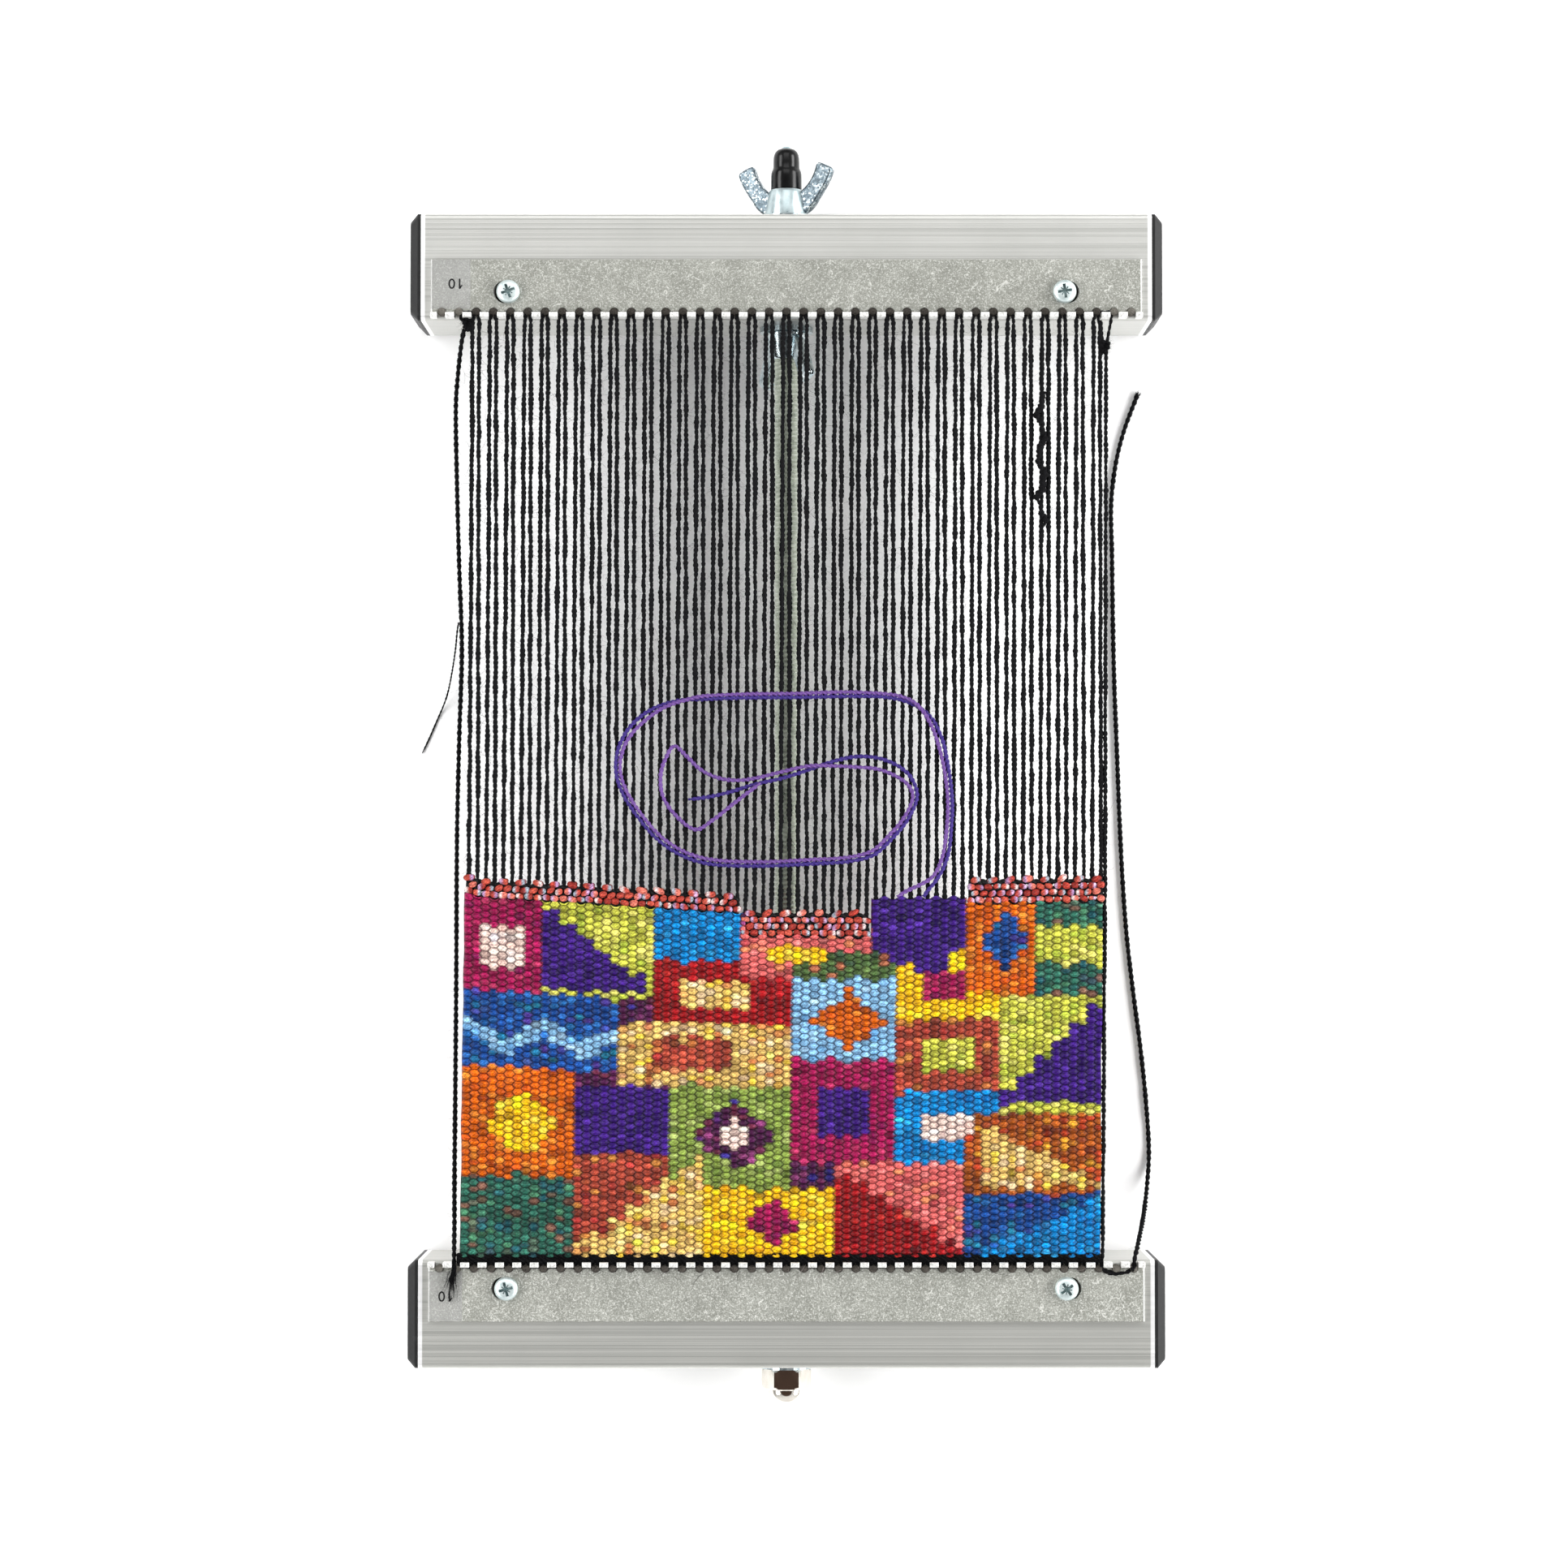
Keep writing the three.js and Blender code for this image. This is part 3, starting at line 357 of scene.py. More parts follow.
BEAD_ACROSS, BEAD_UP = 0.647, 1.12   # half widths of a bead's oval, in columns and in picks


def woven_look():
    """Weft yarn: the mesh carries each bead's dye and its place in the weave, and the rest is drawn here, with
    painted shade at the beads' edges and between them and painted highlight flecks.
    """
    look = Look("woven_yarn", tint(0x8C3A4A), 0.42, 0.0, Specular_IOR_Level=0.12)
    dyed = look.node("ShaderNodeAttribute", attribute_name="dye")
    place = look.split(look.node("ShaderNodeAttribute", attribute_name="weave").outputs["Vector"])
    across = look.maths("PINGPONG", place["X"], 1.0)
    up = look.maths("PINGPONG", place["Y"], 1.0)

    def six_sided(x, y):
        x = look.maths("MULTIPLY", x, 0.866 / BEAD_ACROSS)
        y = look.maths("MULTIPLY", y, 1 / BEAD_UP)
        return look.maths("MAXIMUM", y, look.maths("ADD", x, look.maths("MULTIPLY", y, 0.5)))

    away = look.maths("MINIMUM", six_sided(across, up),
                      six_sided(look.maths("SUBTRACT", 1.0, across), look.maths("SUBTRACT", 1.0, up)))
    # painted shade: near-black crevices where the beads meet
    outline = look.ramp(away, (0.74, 0.0), (0.91, 0.93))
    plies = look.wave(look.space((1, 0.8, 1), (0, 0, 0.9)), 520.0, 2.4, 2.0)
    flecks = look.noise(look.space((0.7, 1.3, 1), (0, 0, 0.5)), 1350.0, 3.0, 0.75)
    # light and dark copies of the dye for the flecks; dark also serves the painted shade, glint the painted highlight
    light, dark, glint = (look.mix(1.0, dyed.outputs["Color"], (*share, 1), "MULTIPLY")
                          for share in ((1.35, 1.35, 1.35), (0.36, 0.3, 0.34), (2.0, 2.0, 2.0)))
    tone = look.mix(look.ramp(flecks, (0.36, 0.0), (0.64, 1.0)), dark, light)
    # darker bands along the plies: partly the plies' own shades, partly painted shade in their grooves
    tone = look.mix(look.ramp(plies, (0.1, 0.4), (0.6, 0.0)), tone, dark)
    # painted highlight: the brightest flecks get twice the dye's colour
    tone = look.mix(look.ramp(flecks, (0.6, 0.0), (0.72, 0.8)), tone, glint)
    # painted shade: each bead darker towards its edge
    shade = look.ramp(away, (0.4, 0.0), (0.82, 0.6))
    tone = look.mix(shade, tone, dark)
    look.colour(look.mix(outline, tone, (0.004, 0.003, 0.004, 1)))
    relief = look.maths("ADD", look.maths("MULTIPLY", plies, 0.15), look.maths("MULTIPLY", flecks, 0.3))
    relief = look.maths("SUBTRACT", relief, look.maths("POWER", look.maths("MULTIPLY", away, 1.1), 3.0))
    look.bump(relief, 0.7, 0.0004)
    return look.material


def label_look():
    return grained("label_film", tint(0xF6F7F4), 0.3, 0.0, (500.0, 3.0, 0.6),
                   (0.3, tint(0xEAEBE8)), (0.7, tint(0xFCFCFA)), Alpha=0.27)[0].material


def ink_look():
    return grained("label_ink", tint(0x181819), 0.8, 0.0, (2400.0, 3.0, 0.6),
                   (0.4, tint(0x121213)), (0.8, tint(0x3A3A3C)), Specular_IOR_Level=0.1)[0].material


# the two bars share one aluminium and the two combs another; each part is painted a little lighter or darker for how
# it is lit
BAR_UPPER = bar_look("bar_aluminium_upper", 0xADAEA9, 0xC9C9C5)
BAR_LOWER = bar_look("bar_aluminium_lower", 0xA8A9A4, 0xC2C2BD)
COMB_UPPER = comb_look("comb_aluminium_upper", 0.82)
COMB_LOWER = comb_look("comb_aluminium_lower", 0.96)
TEETH_HIGHLIGHT = teeth_highlight_look()
# painted shade for the comb notches, lighter on the lower comb, and grey painted shade for the empty outer notches
NOTCH_SHADE = notch_shade_look("notch_lint", 0x3A3632, 0x66615B)
NOTCH_SHADE_PALE = notch_shade_look("notch_painted_shade_pale", 0x4F4A45, 0x7F7972)
EMPTY_NOTCH_SHADE = notch_shade_look("empty_notch_painted_shade", 0x77736B, 0xA39F96)
PLASTIC = plastic_look()
ZINC = zinc_look("zinc_steel", False)
ZINC_CAST = zinc_look("zinc_cast", True, 0x65727A, 0x86939A)
ZINC_SMOOTH = zinc_look("zinc_smooth", False, 0x9FB0B6, 0xE4ECEE, (0.1, 0.22))
ZINC_HUB = zinc_look("zinc_hub", False, 0x98A8AB, 0xBCC8CA, (0.26, 0.4), 0.8)
ZINC_HEAD = zinc_look("zinc_screw", False, 0xB9C8C8, 0xD8E1E0, (0.3, 0.45), 0.6)
RECESS_SHADE = recess_shade_look()
ROD = rod_look()
NICKEL = nickel_look()
VINYL = vinyl_look()
BLACK = yarn_look("black_yarn", 0x0A0A0B, 0x303033, 0.95, 0.08)
PURPLE = yarn_look("purple_yarn", 0x32188A, 0x5B38B2, 0.55, 0.35)
LILAC = yarn_look("lilac_yarn", 0x7A49B0, 0xA878D2, 0.55, 0.35)
WOVEN = woven_look()
LABEL = label_look()
INK = ink_look()


# ---------------------------------------------------------------- mesh helpers
def turned_out(mesh):
    """Turns every face's front to the outside."""
    shape = bmesh.new()
    shape.from_mesh(mesh)
    bmesh.ops.recalc_face_normals(shape, faces=shape.faces)
    shape.to_mesh(mesh)
    shape.free()


def add_mesh(name, verts, faces, material, body, smooth=True, replaces=()):
    """A piece from points in millimetres of the row frame."""
    mesh = bpy.data.meshes.new(name)
    mesh.from_pydata((np.asarray(verts, float) * MM).tolist(), [], faces)
    mesh.materials.append(material)
    mesh.polygons.foreach_set("use_smooth", [smooth] * len(mesh.polygons))
    mesh.update()
    piece = bpy.data.objects.new(name, mesh)
    bpy.context.scene.collection.objects.link(piece)
    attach(piece, body)
    if replaces:
        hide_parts(*replaces)
    return piece


class Parts:
    """Verts and faces of several closed forms that become one mesh."""

    def __init__(self):
        self.verts = []
        self.faces = []
        self.count = 0

    def add(self, verts, faces):
        verts = np.asarray(verts, float)
        self.faces.extend([[i + self.count for i in face] for face in faces])
        self.verts.append(verts)
        self.count += len(verts)
        return self

    def yarn(self, path, radius, pitch, **shape):
        """Adds a two-ply yarn and gives back its middle line."""
        verts, faces, line = two_ply(path, radius, pitch, **shape)
        self.add(verts, faces)
        return line

    def points(self):
        return np.concatenate(self.verts)


def moved(points):
    """From the CAD's own Y to the row frame's, in millimetres."""
    out = np.array(points, float)
    out[..., 1] += SHIFT_Y
    return out


def grid_faces(rows, sides):
    """Quads of a tube of rings, with a fan of one face at each end."""
    ring = np.arange(rows - 1)[:, None] * sides
    side = np.arange(sides)[None, :]
    after = (side + 1) % sides
    a, b = ring + side, ring + after
    quads = np.stack([a, b, b + sides, a + sides], -1).reshape(-1, 4)
    return quads.tolist() + [np.arange(sides)[::-1].tolist(), (np.arange(sides) + (rows - 1) * sides).tolist()]


def smooth_noise(count, spacing):
    """Seeded noise of about -1 to 1 that changes over a number of samples."""
    knots = random.uniform(-1, 1, int(count / spacing) + 3)
    at = np.arange(count) / spacing
    low = at.astype(int)
    part = at - low
    part = part * part * (3 - 2 * part)
    return knots[low] * (1 - part) + knots[low + 1] * part


def resample(points, spacing):
    points = np.asarray(points, float)
    steps = np.linalg.norm(np.diff(points, axis=0), axis=1)
    run = np.concatenate([[0], np.cumsum(steps)])
    count = max(int(run[-1] / spacing), 2) + 1
    at = np.linspace(0, run[-1], count)
    return np.stack([np.interp(at, run, points[:, k]) for k in range(3)], -1)


def smooth_curve(route):
    """Centripetal Catmull-Rom curve through a route, as the CAD's cords follow it."""
    per_span = 10
    p = np.asarray(route, float)
    p = np.concatenate([[2 * p[0] - p[1]], p, [2 * p[-1] - p[-2]]])
    out = []
    for i in range(1, len(p) - 2):
        quad = p[i - 1:i + 3]
        t = [0.0]
        for a, b in zip(quad[:-1], quad[1:]):
            t.append(t[-1] + max(np.linalg.norm(b - a), 1e-6) ** 0.5)
        for s in np.linspace(t[1], t[2], per_span, endpoint=False):
            level = quad
            for reach, spans in ((1, (0, 1, 2)), (2, (0, 1)), (1, (1,))):
                level = [(t[k + reach] - s) / (t[k + reach] - t[k]) * level[n]
                         + (s - t[k]) / (t[k + reach] - t[k]) * level[n + 1] for n, k in enumerate(spans)]
            out.append(level[0])
    out.append(p[-2])
    return np.array(out)


def two_ply(path, radius, pitch, spacing=0.5, uneven=0.12, wander=0.0, taper=(1.0, 1.0), phase=0.0, split=0.5,
            girth=None):
    """Verts and faces of a twisted two-ply yarn along a path, whose two lobes turn as they go, and its line."""
    sides = 8
    line = resample(path, spacing)
    count = len(line)
    if wander:
        aside, lift = smooth_noise(count, 7) * wander, smooth_noise(count, 9) * wander * 0.5
        line = line + np.stack([aside, np.zeros(count), lift], -1)
    tangent = np.gradient(line, axis=0)
    tangent /= np.linalg.norm(tangent, axis=1)[:, None]
    normal = np.zeros_like(line)
    up = np.array([0, 0, 1.0]) if abs(tangent[0][2]) < 0.9 else np.array([1.0, 0, 0])
    previous = np.cross(up, tangent[0])
    for i in range(count):
        previous = previous - tangent[i] * np.dot(previous, tangent[i])
        previous /= np.linalg.norm(previous)
        normal[i] = previous
    binormal = np.cross(tangent, normal)
    rho = radius / (1 + split)
    angle = np.arange(sides) * 2 * np.pi / sides
    lobes = split * rho * np.abs(np.cos(angle)) + np.sqrt(rho ** 2 - (split * rho * np.sin(angle)) ** 2)
    thickness = 1 + uneven * smooth_noise(count, 5) + uneven * 0.6 * smooth_noise(count, 2)
    ends = np.ones(count)
    if taper[0] < 1:
        ends[:6] = np.linspace(taper[0], 1, 6)[:min(6, count)]
    if taper[1] < 1:
        ends[-6:] = np.linspace(1, taper[1], 6)[-min(6, count):]
    thickness = thickness * ends
    if girth:
        thickness *= girth(line)
    turn = phase + np.arange(count) * spacing / pitch * 2 * np.pi
    around = angle[None, :] + turn[:, None]
    reach = lobes[None, :] * thickness[:, None]
    verts = (line[:, None, :]
             + normal[:, None, :] * (reach * np.cos(around))[..., None]
             + binormal[:, None, :] * (reach * np.sin(around))[..., None])
    return verts.reshape(-1, 3), grid_faces(count, sides), line


def hairs(roots, directions, lengths, radius=0.035, curl=0.5, steps=5):
    """Thin stray fibres, each a tapering three-sided tube that curls."""
    count = len(roots)
    directions = directions / np.linalg.norm(directions, axis=1)[:, None]
    t = np.linspace(0, 1, steps)
    side = np.cross(directions, random.normal(size=(count, 3)))
    side /= np.linalg.norm(side, axis=1)[:, None]
    other = np.cross(directions, side)
    bend = random.normal(size=(count, 2)) * curl
    wave = random.normal(size=(count, 2)) * curl * 0.35
    along = lengths[:, None] * t[None, :]
    off_a = lengths[:, None] * (bend[:, :1] * t ** 2 + wave[:, :1] * np.sin(2 * np.pi * t))
    off_b = lengths[:, None] * (bend[:, 1:] * t ** 2 + wave[:, 1:] * np.sin(2 * np.pi * t))
    path = (roots[:, None, :] + directions[:, None, :] * along[..., None]
            + side[:, None, :] * off_a[..., None] + other[:, None, :] * off_b[..., None])
    path[..., 2] = np.maximum(path[..., 2], 0.3)
    size = radius * (1 - 0.75 * t)
    verts = []
    for k in range(3):
        a = 2 * np.pi * k / 3
        ring = side * np.cos(a) + other * np.sin(a)
        verts.append(path + ring[:, None, :] * size[None, :, None])
    verts = np.stack(verts, 2).reshape(-1, 3)
    pattern = grid_faces(steps, 3)
    return verts, [[i + start for i in face] for start in range(0, count * steps * 3, steps * 3) for face in pattern]


def lathe(profile, segments):
    """Verts and faces of a turned form about Y, from (radius, height) pairs; closed where radii end at 0."""
    profile = np.asarray(profile, float)
    angle = np.arange(segments) * 2 * np.pi / segments
    verts = np.stack([
        profile[:, :1] * np.cos(angle)[None, :],
        np.repeat(profile[:, 1:], segments, 1),
        profile[:, :1] * np.sin(angle)[None, :],
    ], -1).reshape(-1, 3)
    return verts, grid_faces(len(profile), segments)


def upright(points):
    """A turned form stood up along +Z."""
    return points[:, [0, 2, 1]] * np.array([1, -1, 1])


def mark(piece, material, faces):
    """A second material on some faces of a piece."""
    piece.data.materials.append(material)
    for polygon in faces:
        polygon.material_index = 1


def rotate_y(points, degrees):
    a = math.radians(degrees)
    x, y, z = points[..., 0], points[..., 1], points[..., 2]
    return np.stack([x * math.cos(a) + z * math.sin(a), y, -x * math.sin(a) + z * math.cos(a)], -1)


def on_rod(points, start, upside_down=False, turn=0.0):
    """A form built along +Y from 0 put on the rod, as the CAD puts its nuts."""
    out = np.array(points, float)
    if upside_down:
        out = out * np.array([1, -1, -1])
    out = rotate_y(out, turn)
    return moved(out + np.array([0, start, ROD_Z]))


def baked(holder):
    """Verts and faces of an object as its modifiers leave it; the object itself goes."""
    bpy.context.view_layer.update()
    mesh = bpy.data.meshes.new_from_object(holder.evaluated_get(bpy.context.evaluated_depsgraph_get()))
    verts = np.array([v.co for v in mesh.vertices])
    faces = [list(p.vertices) for p in mesh.polygons]
    bpy.data.objects.remove(holder)
    bpy.data.meshes.remove(mesh)
    return verts, faces


def from_curve(splines, depth, bevel):
    """Mesh verts and faces of a flat filled outline with holes, in millimetres, centred on Z 0."""
    curve = bpy.data.curves.new("outline", "CURVE")
    curve.dimensions = "2D"
    curve.fill_mode = "BOTH"
    curve.extrude = max(depth / 2 - bevel, 1e-4)
    curve.bevel_depth = bevel
    curve.bevel_resolution = 2
    curve.offset = -bevel
    for outline in splines:
        spline = curve.splines.new("POLY")
        spline.points.add(len(outline) - 1)
        for point, (x, y) in zip(spline.points, outline):
            point.co = (x, y, 0, 1)
        spline.use_cyclic_u = True
    holder = bpy.data.objects.new("outline", curve)
    bpy.context.scene.collection.objects.link(holder)
    verts, faces = baked(holder)
    bpy.data.curves.remove(curve)
    return verts, faces


def rectangle(left, right, low, high):
    return [(left, low), (right, low), (right, high), (left, high)]


def arc(centre, radius, start, end, steps):
    angles = np.radians(np.linspace(start, end, steps + 1))
    return [(centre[0] + radius * math.cos(a), centre[1] + radius * math.sin(a)) for a in angles]


# ---------------------------------------------------------------- loose yarns
def course(*points, z):
    """A yarn's course as the CAD has it; a point without a height lies at the common one."""
    return [(*point, z)[:3] for point in points]


TAIL_RIGHT = course(
    (100.9, -141.05, 33.93), (101.4, -140.5, 33.95), (101.7, -139.4, 34), (101.9, -137.8, 33.8),
    (102.8, -135, 31.8), (104.2, -131.5, 26), (105.8, -128, 18), (107.4, -124, 9), (108.7, -118, 2.6),
    (109.4, -109.1), (108.6, -94.4), (106.9, -77.3), (104.7, -60.1), (102.8, -43), (101.6, -25.8),
    (100.7, -6.2), (100, 13.5), (99.3, 33.1), (98.9, 52.8), (98.7, 72.5), (98.5, 87.3), (100, 99.7),
    (102.5, 109.5), (106.4, 119.9), z=0.6)
TAIL_LEFT = course(
    (-94.9, 135.3, 33.8), (-95.7, 131.9, 32.9), (-97.2, 120.2, 30.6), (-97.7, 113.6, 29.4), (-97.6, 89.5, 26),
    (-97.1, 65.6, 23.5), (-96.4, 41.6, 22), (-97.1, 17.5, 21.5), (-97.6, -6.6, 22), (-97.7, -18.7, 22.5),
    (-97.6, -54.7, 24.5), (-97.5, -90.4, 28), (-97.4, -114, 31), (-97.2, -128, 33.2), (-97.2, -134, 33.9),
    (-97.2, -137.4), (-97.2, -139), (-97.2, -141.2), (-97.6, -142.8, 34), (-98.4, -144.6, 33.9), z=34.05)
PLY_LEFT = course(
    (-97.4, 49.6, 22.2), (-97.9, 46.8, 21.2), (-98.5, 43, 18.4), (-99.4, 39, 14.4), (-100.5, 35, 9.8),
    (-101.7, 31, 5.4), (-102.9, 27.8, 2.4), (-104.1, 25, 0.9), (-105.3, 22.4, 0.4), (-106.6, 19.4),
    (-107.8, 16.6), (-109, 14), (-110.2, 11.5), z=0.35)
WEFT_DARK = course(
    (40.2, -31.9), (41.2, -30.3), (42.8, -28.4), (45.2, -24.9), (47.4, -19.5), (48.3, -12), (48.6, -3.8),
    (47.4, 6.7), (45.3, 15.5), (41.9, 21.3), (36.2, 25.1), (29.3, 26.7), (18.8, 27), (5, 26.7), (-9, 26.6),
    (-23, 26.2), (-32.1, 25.6), (-40.5, 22.6), (-46.2, 17.6), (-49.3, 11.5), (-50, 5.3), (-48.3, -0.9),
    (-44, -7.8), (-37.8, -15), (-30.7, -19.7), (-23.1, -22.1), (-8, -22.8), (8.3, -22.1), (18.8, -21.4),
    (25.7, -19.5), (30.7, -15), (35.5, -9.3), (38.3, -2.4), (36.9, 2.6), (33.6, 6), (27.9, 8.6), (21, 9.3),
    (13.8, 7.9), (6.9, 5.5), (-1.4, 2.9), (-9, 1.2), (-16.9, -1.2), (-23.1, -2.6), (-28.8, -3.3), z=34.9)
WEFT_LIGHT = course(
    (32.6, -32), (34.2, -30.7), (36.8, -29.4), (40, -27.9), (43.2, -25.6), (45.6, -20.6), (46.9, -13.2),
    (47.4, -4), (46.2, 6.2), (43.9, 15), (41.7, 20, 35.5), (39.6, 23.1, 35.75), (37, 25.5, 35.6), (33, 27.1),
    (18.8, 28.2), (3, 27.8), (-12, 27.6), (-20, 27.3), (-25, 26.9, 35.5), (-29.5, 25.9, 35.75),
    (-34, 24.5, 35.7), (-38, 22.5, 35.1), (-45.3, 16.1), (-48.1, 10.9), (-48.8, 5.3), (-47.2, -0.3),
    (-43.1, -6.9), (-37, -14), (-30.2, -18.5), (-22.9, -20.8), (-8, -21.6), (8.3, -20.9), (18.5, -20.2),
    (25.1, -18.4), (29.8, -14.2), (34.4, -8.8), (37.1, -2.4), (35.4, 1.3), (27.9, 5.3), (18.8, 6.3),
    (14.2, 6.5, 35.1), (9.4, 6.6, 35.75), (4.6, 6.2, 35.5), (-1, 4.9), (-12.6, 2.4), (-19.5, 2.9), (-25.2, 5.5),
    (-29.6, 9.7), (-32.9, 12.4), (-35.6, 8.4), (-36.9, 3.4), (-36.2, -2.4), (-32.8, -7.6), (-26.6, -12.1),
    (-21.4, -9.2), (-15.5, -4.5, 35), (-12, -1.8, 35.3), (-9.2, 0.3, 35.75), (-7.6, 1.6, 35.75), z=34.9)


TUFT = 60                 # fibres in the brush at the right tail's end


def free_yarn(name, route, diameter, pitch, material, body, node, fuzz=0, taper=(1.0, 0.5)):
    """A loose two-ply yarn as a mesh tube with stray fibres."""
    line = smooth_curve(moved(route))
    verts, faces, path = two_ply(line, diameter * 0.68, pitch, spacing=0.42, uneven=0.08, taper=taper, split=0.55)
    verts[:, 2] = np.maximum(verts[:, 2], 0.02)
    piece = add_mesh(name, verts, faces, material, body, replaces=(node,))
    path = (path * MM).tolist()
    if fuzz:
        at = (random.random(fuzz) * (len(path) - 1)).astype(int)
        roots = np.array(path)[at] / MM
        out = random.normal(size=(fuzz, 3)) * np.array([1, 0.8, 0.25])
        out[:, 2] = np.abs(out[:, 2])
        fibres = Parts().add(*hairs(roots, out, random.uniform(0.8, 2.6, fuzz), 0.03))
        if taper[1] > 1:
            tip, before = np.array(path[-1]) / MM, np.array(path[-6]) / MM
            ahead = (tip - before) / np.linalg.norm(tip - before)
            out = ahead + random.normal(size=(TUFT, 3)) * np.array([0.35, 0.35, 0.15])
            fibres.add(*hairs(tip + random.normal(size=(TUFT, 3)) * 0.3, out,
                              random.uniform(0.5, 1.4, TUFT), 0.09, 0.2))
        add_mesh(name + "_fuzz", fibres.points(), fibres.faces, material, body)


free_yarn("tail_right", TAIL_RIGHT, 1.15, 3.8, BLACK, "base",
          "warp_tail_right", 150, taper=(1.0, 1.25))
free_yarn("tail_left", TAIL_LEFT, 1.15, 3.8, BLACK, "upper_assembly", "warp_tail_left", 260)
free_yarn("ply_left", PLY_LEFT, 0.45, 3.0, BLACK, "upper_assembly", "warp_ply_left", 30)
free_yarn("weft_dark", WEFT_DARK, 1.0, 2.9, PURPLE, "base", "weft_tail_dark")
free_yarn("weft_light", WEFT_LIGHT, 1.0, 2.9, LILAC, "base", "weft_tail_light")


# ---------------------------------------------------------------- warp
# millimetres along the CAD's own Y, whose 0 is midway between the bars
INNER = 138.25            # the bars' inner faces
LIP_INNER = INNER + 0.6   # the combs' lips, inside and outside
LIP_OUTER = LIP_INNER + 1.2
NOTCH_END = LIP_OUTER + 0.45
LOOP_Y = 140.4            # the furthest reach of the loops round the teeth
FELL_KINK = -22.45        # where the threads spread out of the cloth
CLOTH_BOTTOM = -136.55
ANCHOR_Y = -46.0          # the threads' drawn courses end here, inside the cloth
WARP_Z = 33.975
DENT = 5.08               # from notch to notch
PITCH = DENT / 2          # from thread to thread in the cloth
IN_DENT = 0.68            # a thread's distance from the middle of its notch
APART = 0.26              # and how much further it runs just under the notch
THREADS = 74
LAST = THREADS - 1
MIDDLE = LAST / 2
WARP_RADIUS = 0.752
KNOT_START = (-93.98, 136.95)
KNOT_END = (93.78, 130.15)


def column(j):
    return (j - MIDDLE) * PITCH


def upper_place(j):
    return (-18 + j // 2) * DENT + (IN_DENT if j % 2 else -IN_DENT)


def lower_place(j):
    if j % 2:
        return (-18 + j // 2) * DENT - IN_DENT
    return (-19 + j // 2) * DENT + IN_DENT


def drift(y):
    """Sideways lean of the threads at a place along Y, between the hem and the fell."""
    part = (y - (CLOTH_BOTTOM - 0.3)) / (FELL_KINK - (CLOTH_BOTTOM - 0.3))
    return -1.6 + 1.2 * part


def thread_down(j):
    """Points of one thread from its upper notch into the cloth."""
    top = [upper_place(j), LIP_INNER - 0.2]
    spread = [upper_place(j) + (APART if j % 2 else -APART), LIP_INNER - 1.1]
    return [top, spread, [column(j) - 0.4, FELL_KINK], [column(j) + drift(ANCHOR_Y), ANCHOR_Y]]


def flat(points):
    """Points at the warp's height, a little lower behind the combs' lips."""
    return np.array([[x, y, WARP_Z - 0.6 * min(max(abs(y) - LIP_INNER, 0), 0.9) / 0.9] for x, y in points])


def pressed(line):
    """Share of a thread's girth: it is squeezed in a notch and drawn thin behind a tooth."""
    y = np.abs(line[:, 1] - SHIFT_Y)
    return np.interp(y, [LIP_INNER - 3, LIP_INNER, LIP_OUTER - 0.5, LIP_OUTER - 0.1], [1.0, 0.84, 0.7, 0.38])


def round_tooth(there, back, end):
    """Two threads joined by their loop behind a tooth, of the upper comb (end 1) or the lower one (end -1)."""
    left, right = there[-1][0], back[0][0]
    outside = end * (LIP_OUTER - 0.2)
    return there + [[left, outside], [left + 0.35, end * LOOP_Y],
                    [right - 0.35, end * LOOP_Y], [right, outside]] + back


def shortens(piece):
    """Gives a piece a mesh of its own."""
    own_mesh(piece)


def warp_upper():
    """The stretch between the upper comb and the fell, with its loops round the comb's teeth."""
    first = thread_down(0)
    first[0] = [KNOT_START[0] + 0.7, KNOT_START[1] - 1.9]
    chains = [first[::-1]]
    for j in range(1, LAST, 2):
        chains.append(round_tooth(thread_down(j)[::-1], thread_down(j + 1), 1))
    last = thread_down(LAST)
    last[0] = [KNOT_END[0] - 0.7, KNOT_END[1] - 1.9]
    chains.append(last)
    yarn = Parts()
    lines = [yarn.yarn(moved(flat(chain)), WARP_RADIUS, 2.9, uneven=0.2, wander=0.12,
                       phase=random.uniform(0, 6.28), split=0.4, girth=pressed) for chain in chains]
    shortens(add_mesh("warp_threads", yarn.points(), yarn.faces, BLACK, "base",
                      replaces=("warp_thread",)))

    everywhere = np.concatenate(lines)
    everywhere = everywhere[(everywhere[:, 1] > -34 + SHIFT_Y) & (everywhere[:, 1] < 136 + SHIFT_Y)]
    count = 9500
    roots = everywhere[(random.random(count) * len(everywhere)).astype(int)]
    out = random.normal(size=(count, 3)) * np.array([1.0, 0.9, 0.35])
    fine, fine_faces = hairs(roots, out, random.uniform(1.0, 4.2, count), 0.046, 0.6)
    shortens(add_mesh("warp_fuzz", fine, fine_faces, BLACK, "base"))


def warp_lower():
    """The ends below the cloth, which loop round the lower comb's teeth."""
    yarn = Parts()
    inside = CLOTH_BOTTOM + 5

    def leg(j):
        return [[column(j) + drift(inside), inside], [column(j) - 1.6, CLOTH_BOTTOM - 0.3],
                [lower_place(j), -LIP_INNER + 0.2]]

    for j in range(0, LAST, 2):
        yarn.yarn(moved(flat(round_tooth(leg(j), leg(j + 1)[::-1], -1))), WARP_RADIUS, 2.9, spacing=0.45,
                  phase=random.uniform(0, 6.28), split=0.32, girth=pressed)
    add_mesh("warp_lower_loops", yarn.points(), yarn.faces, BLACK, "base")


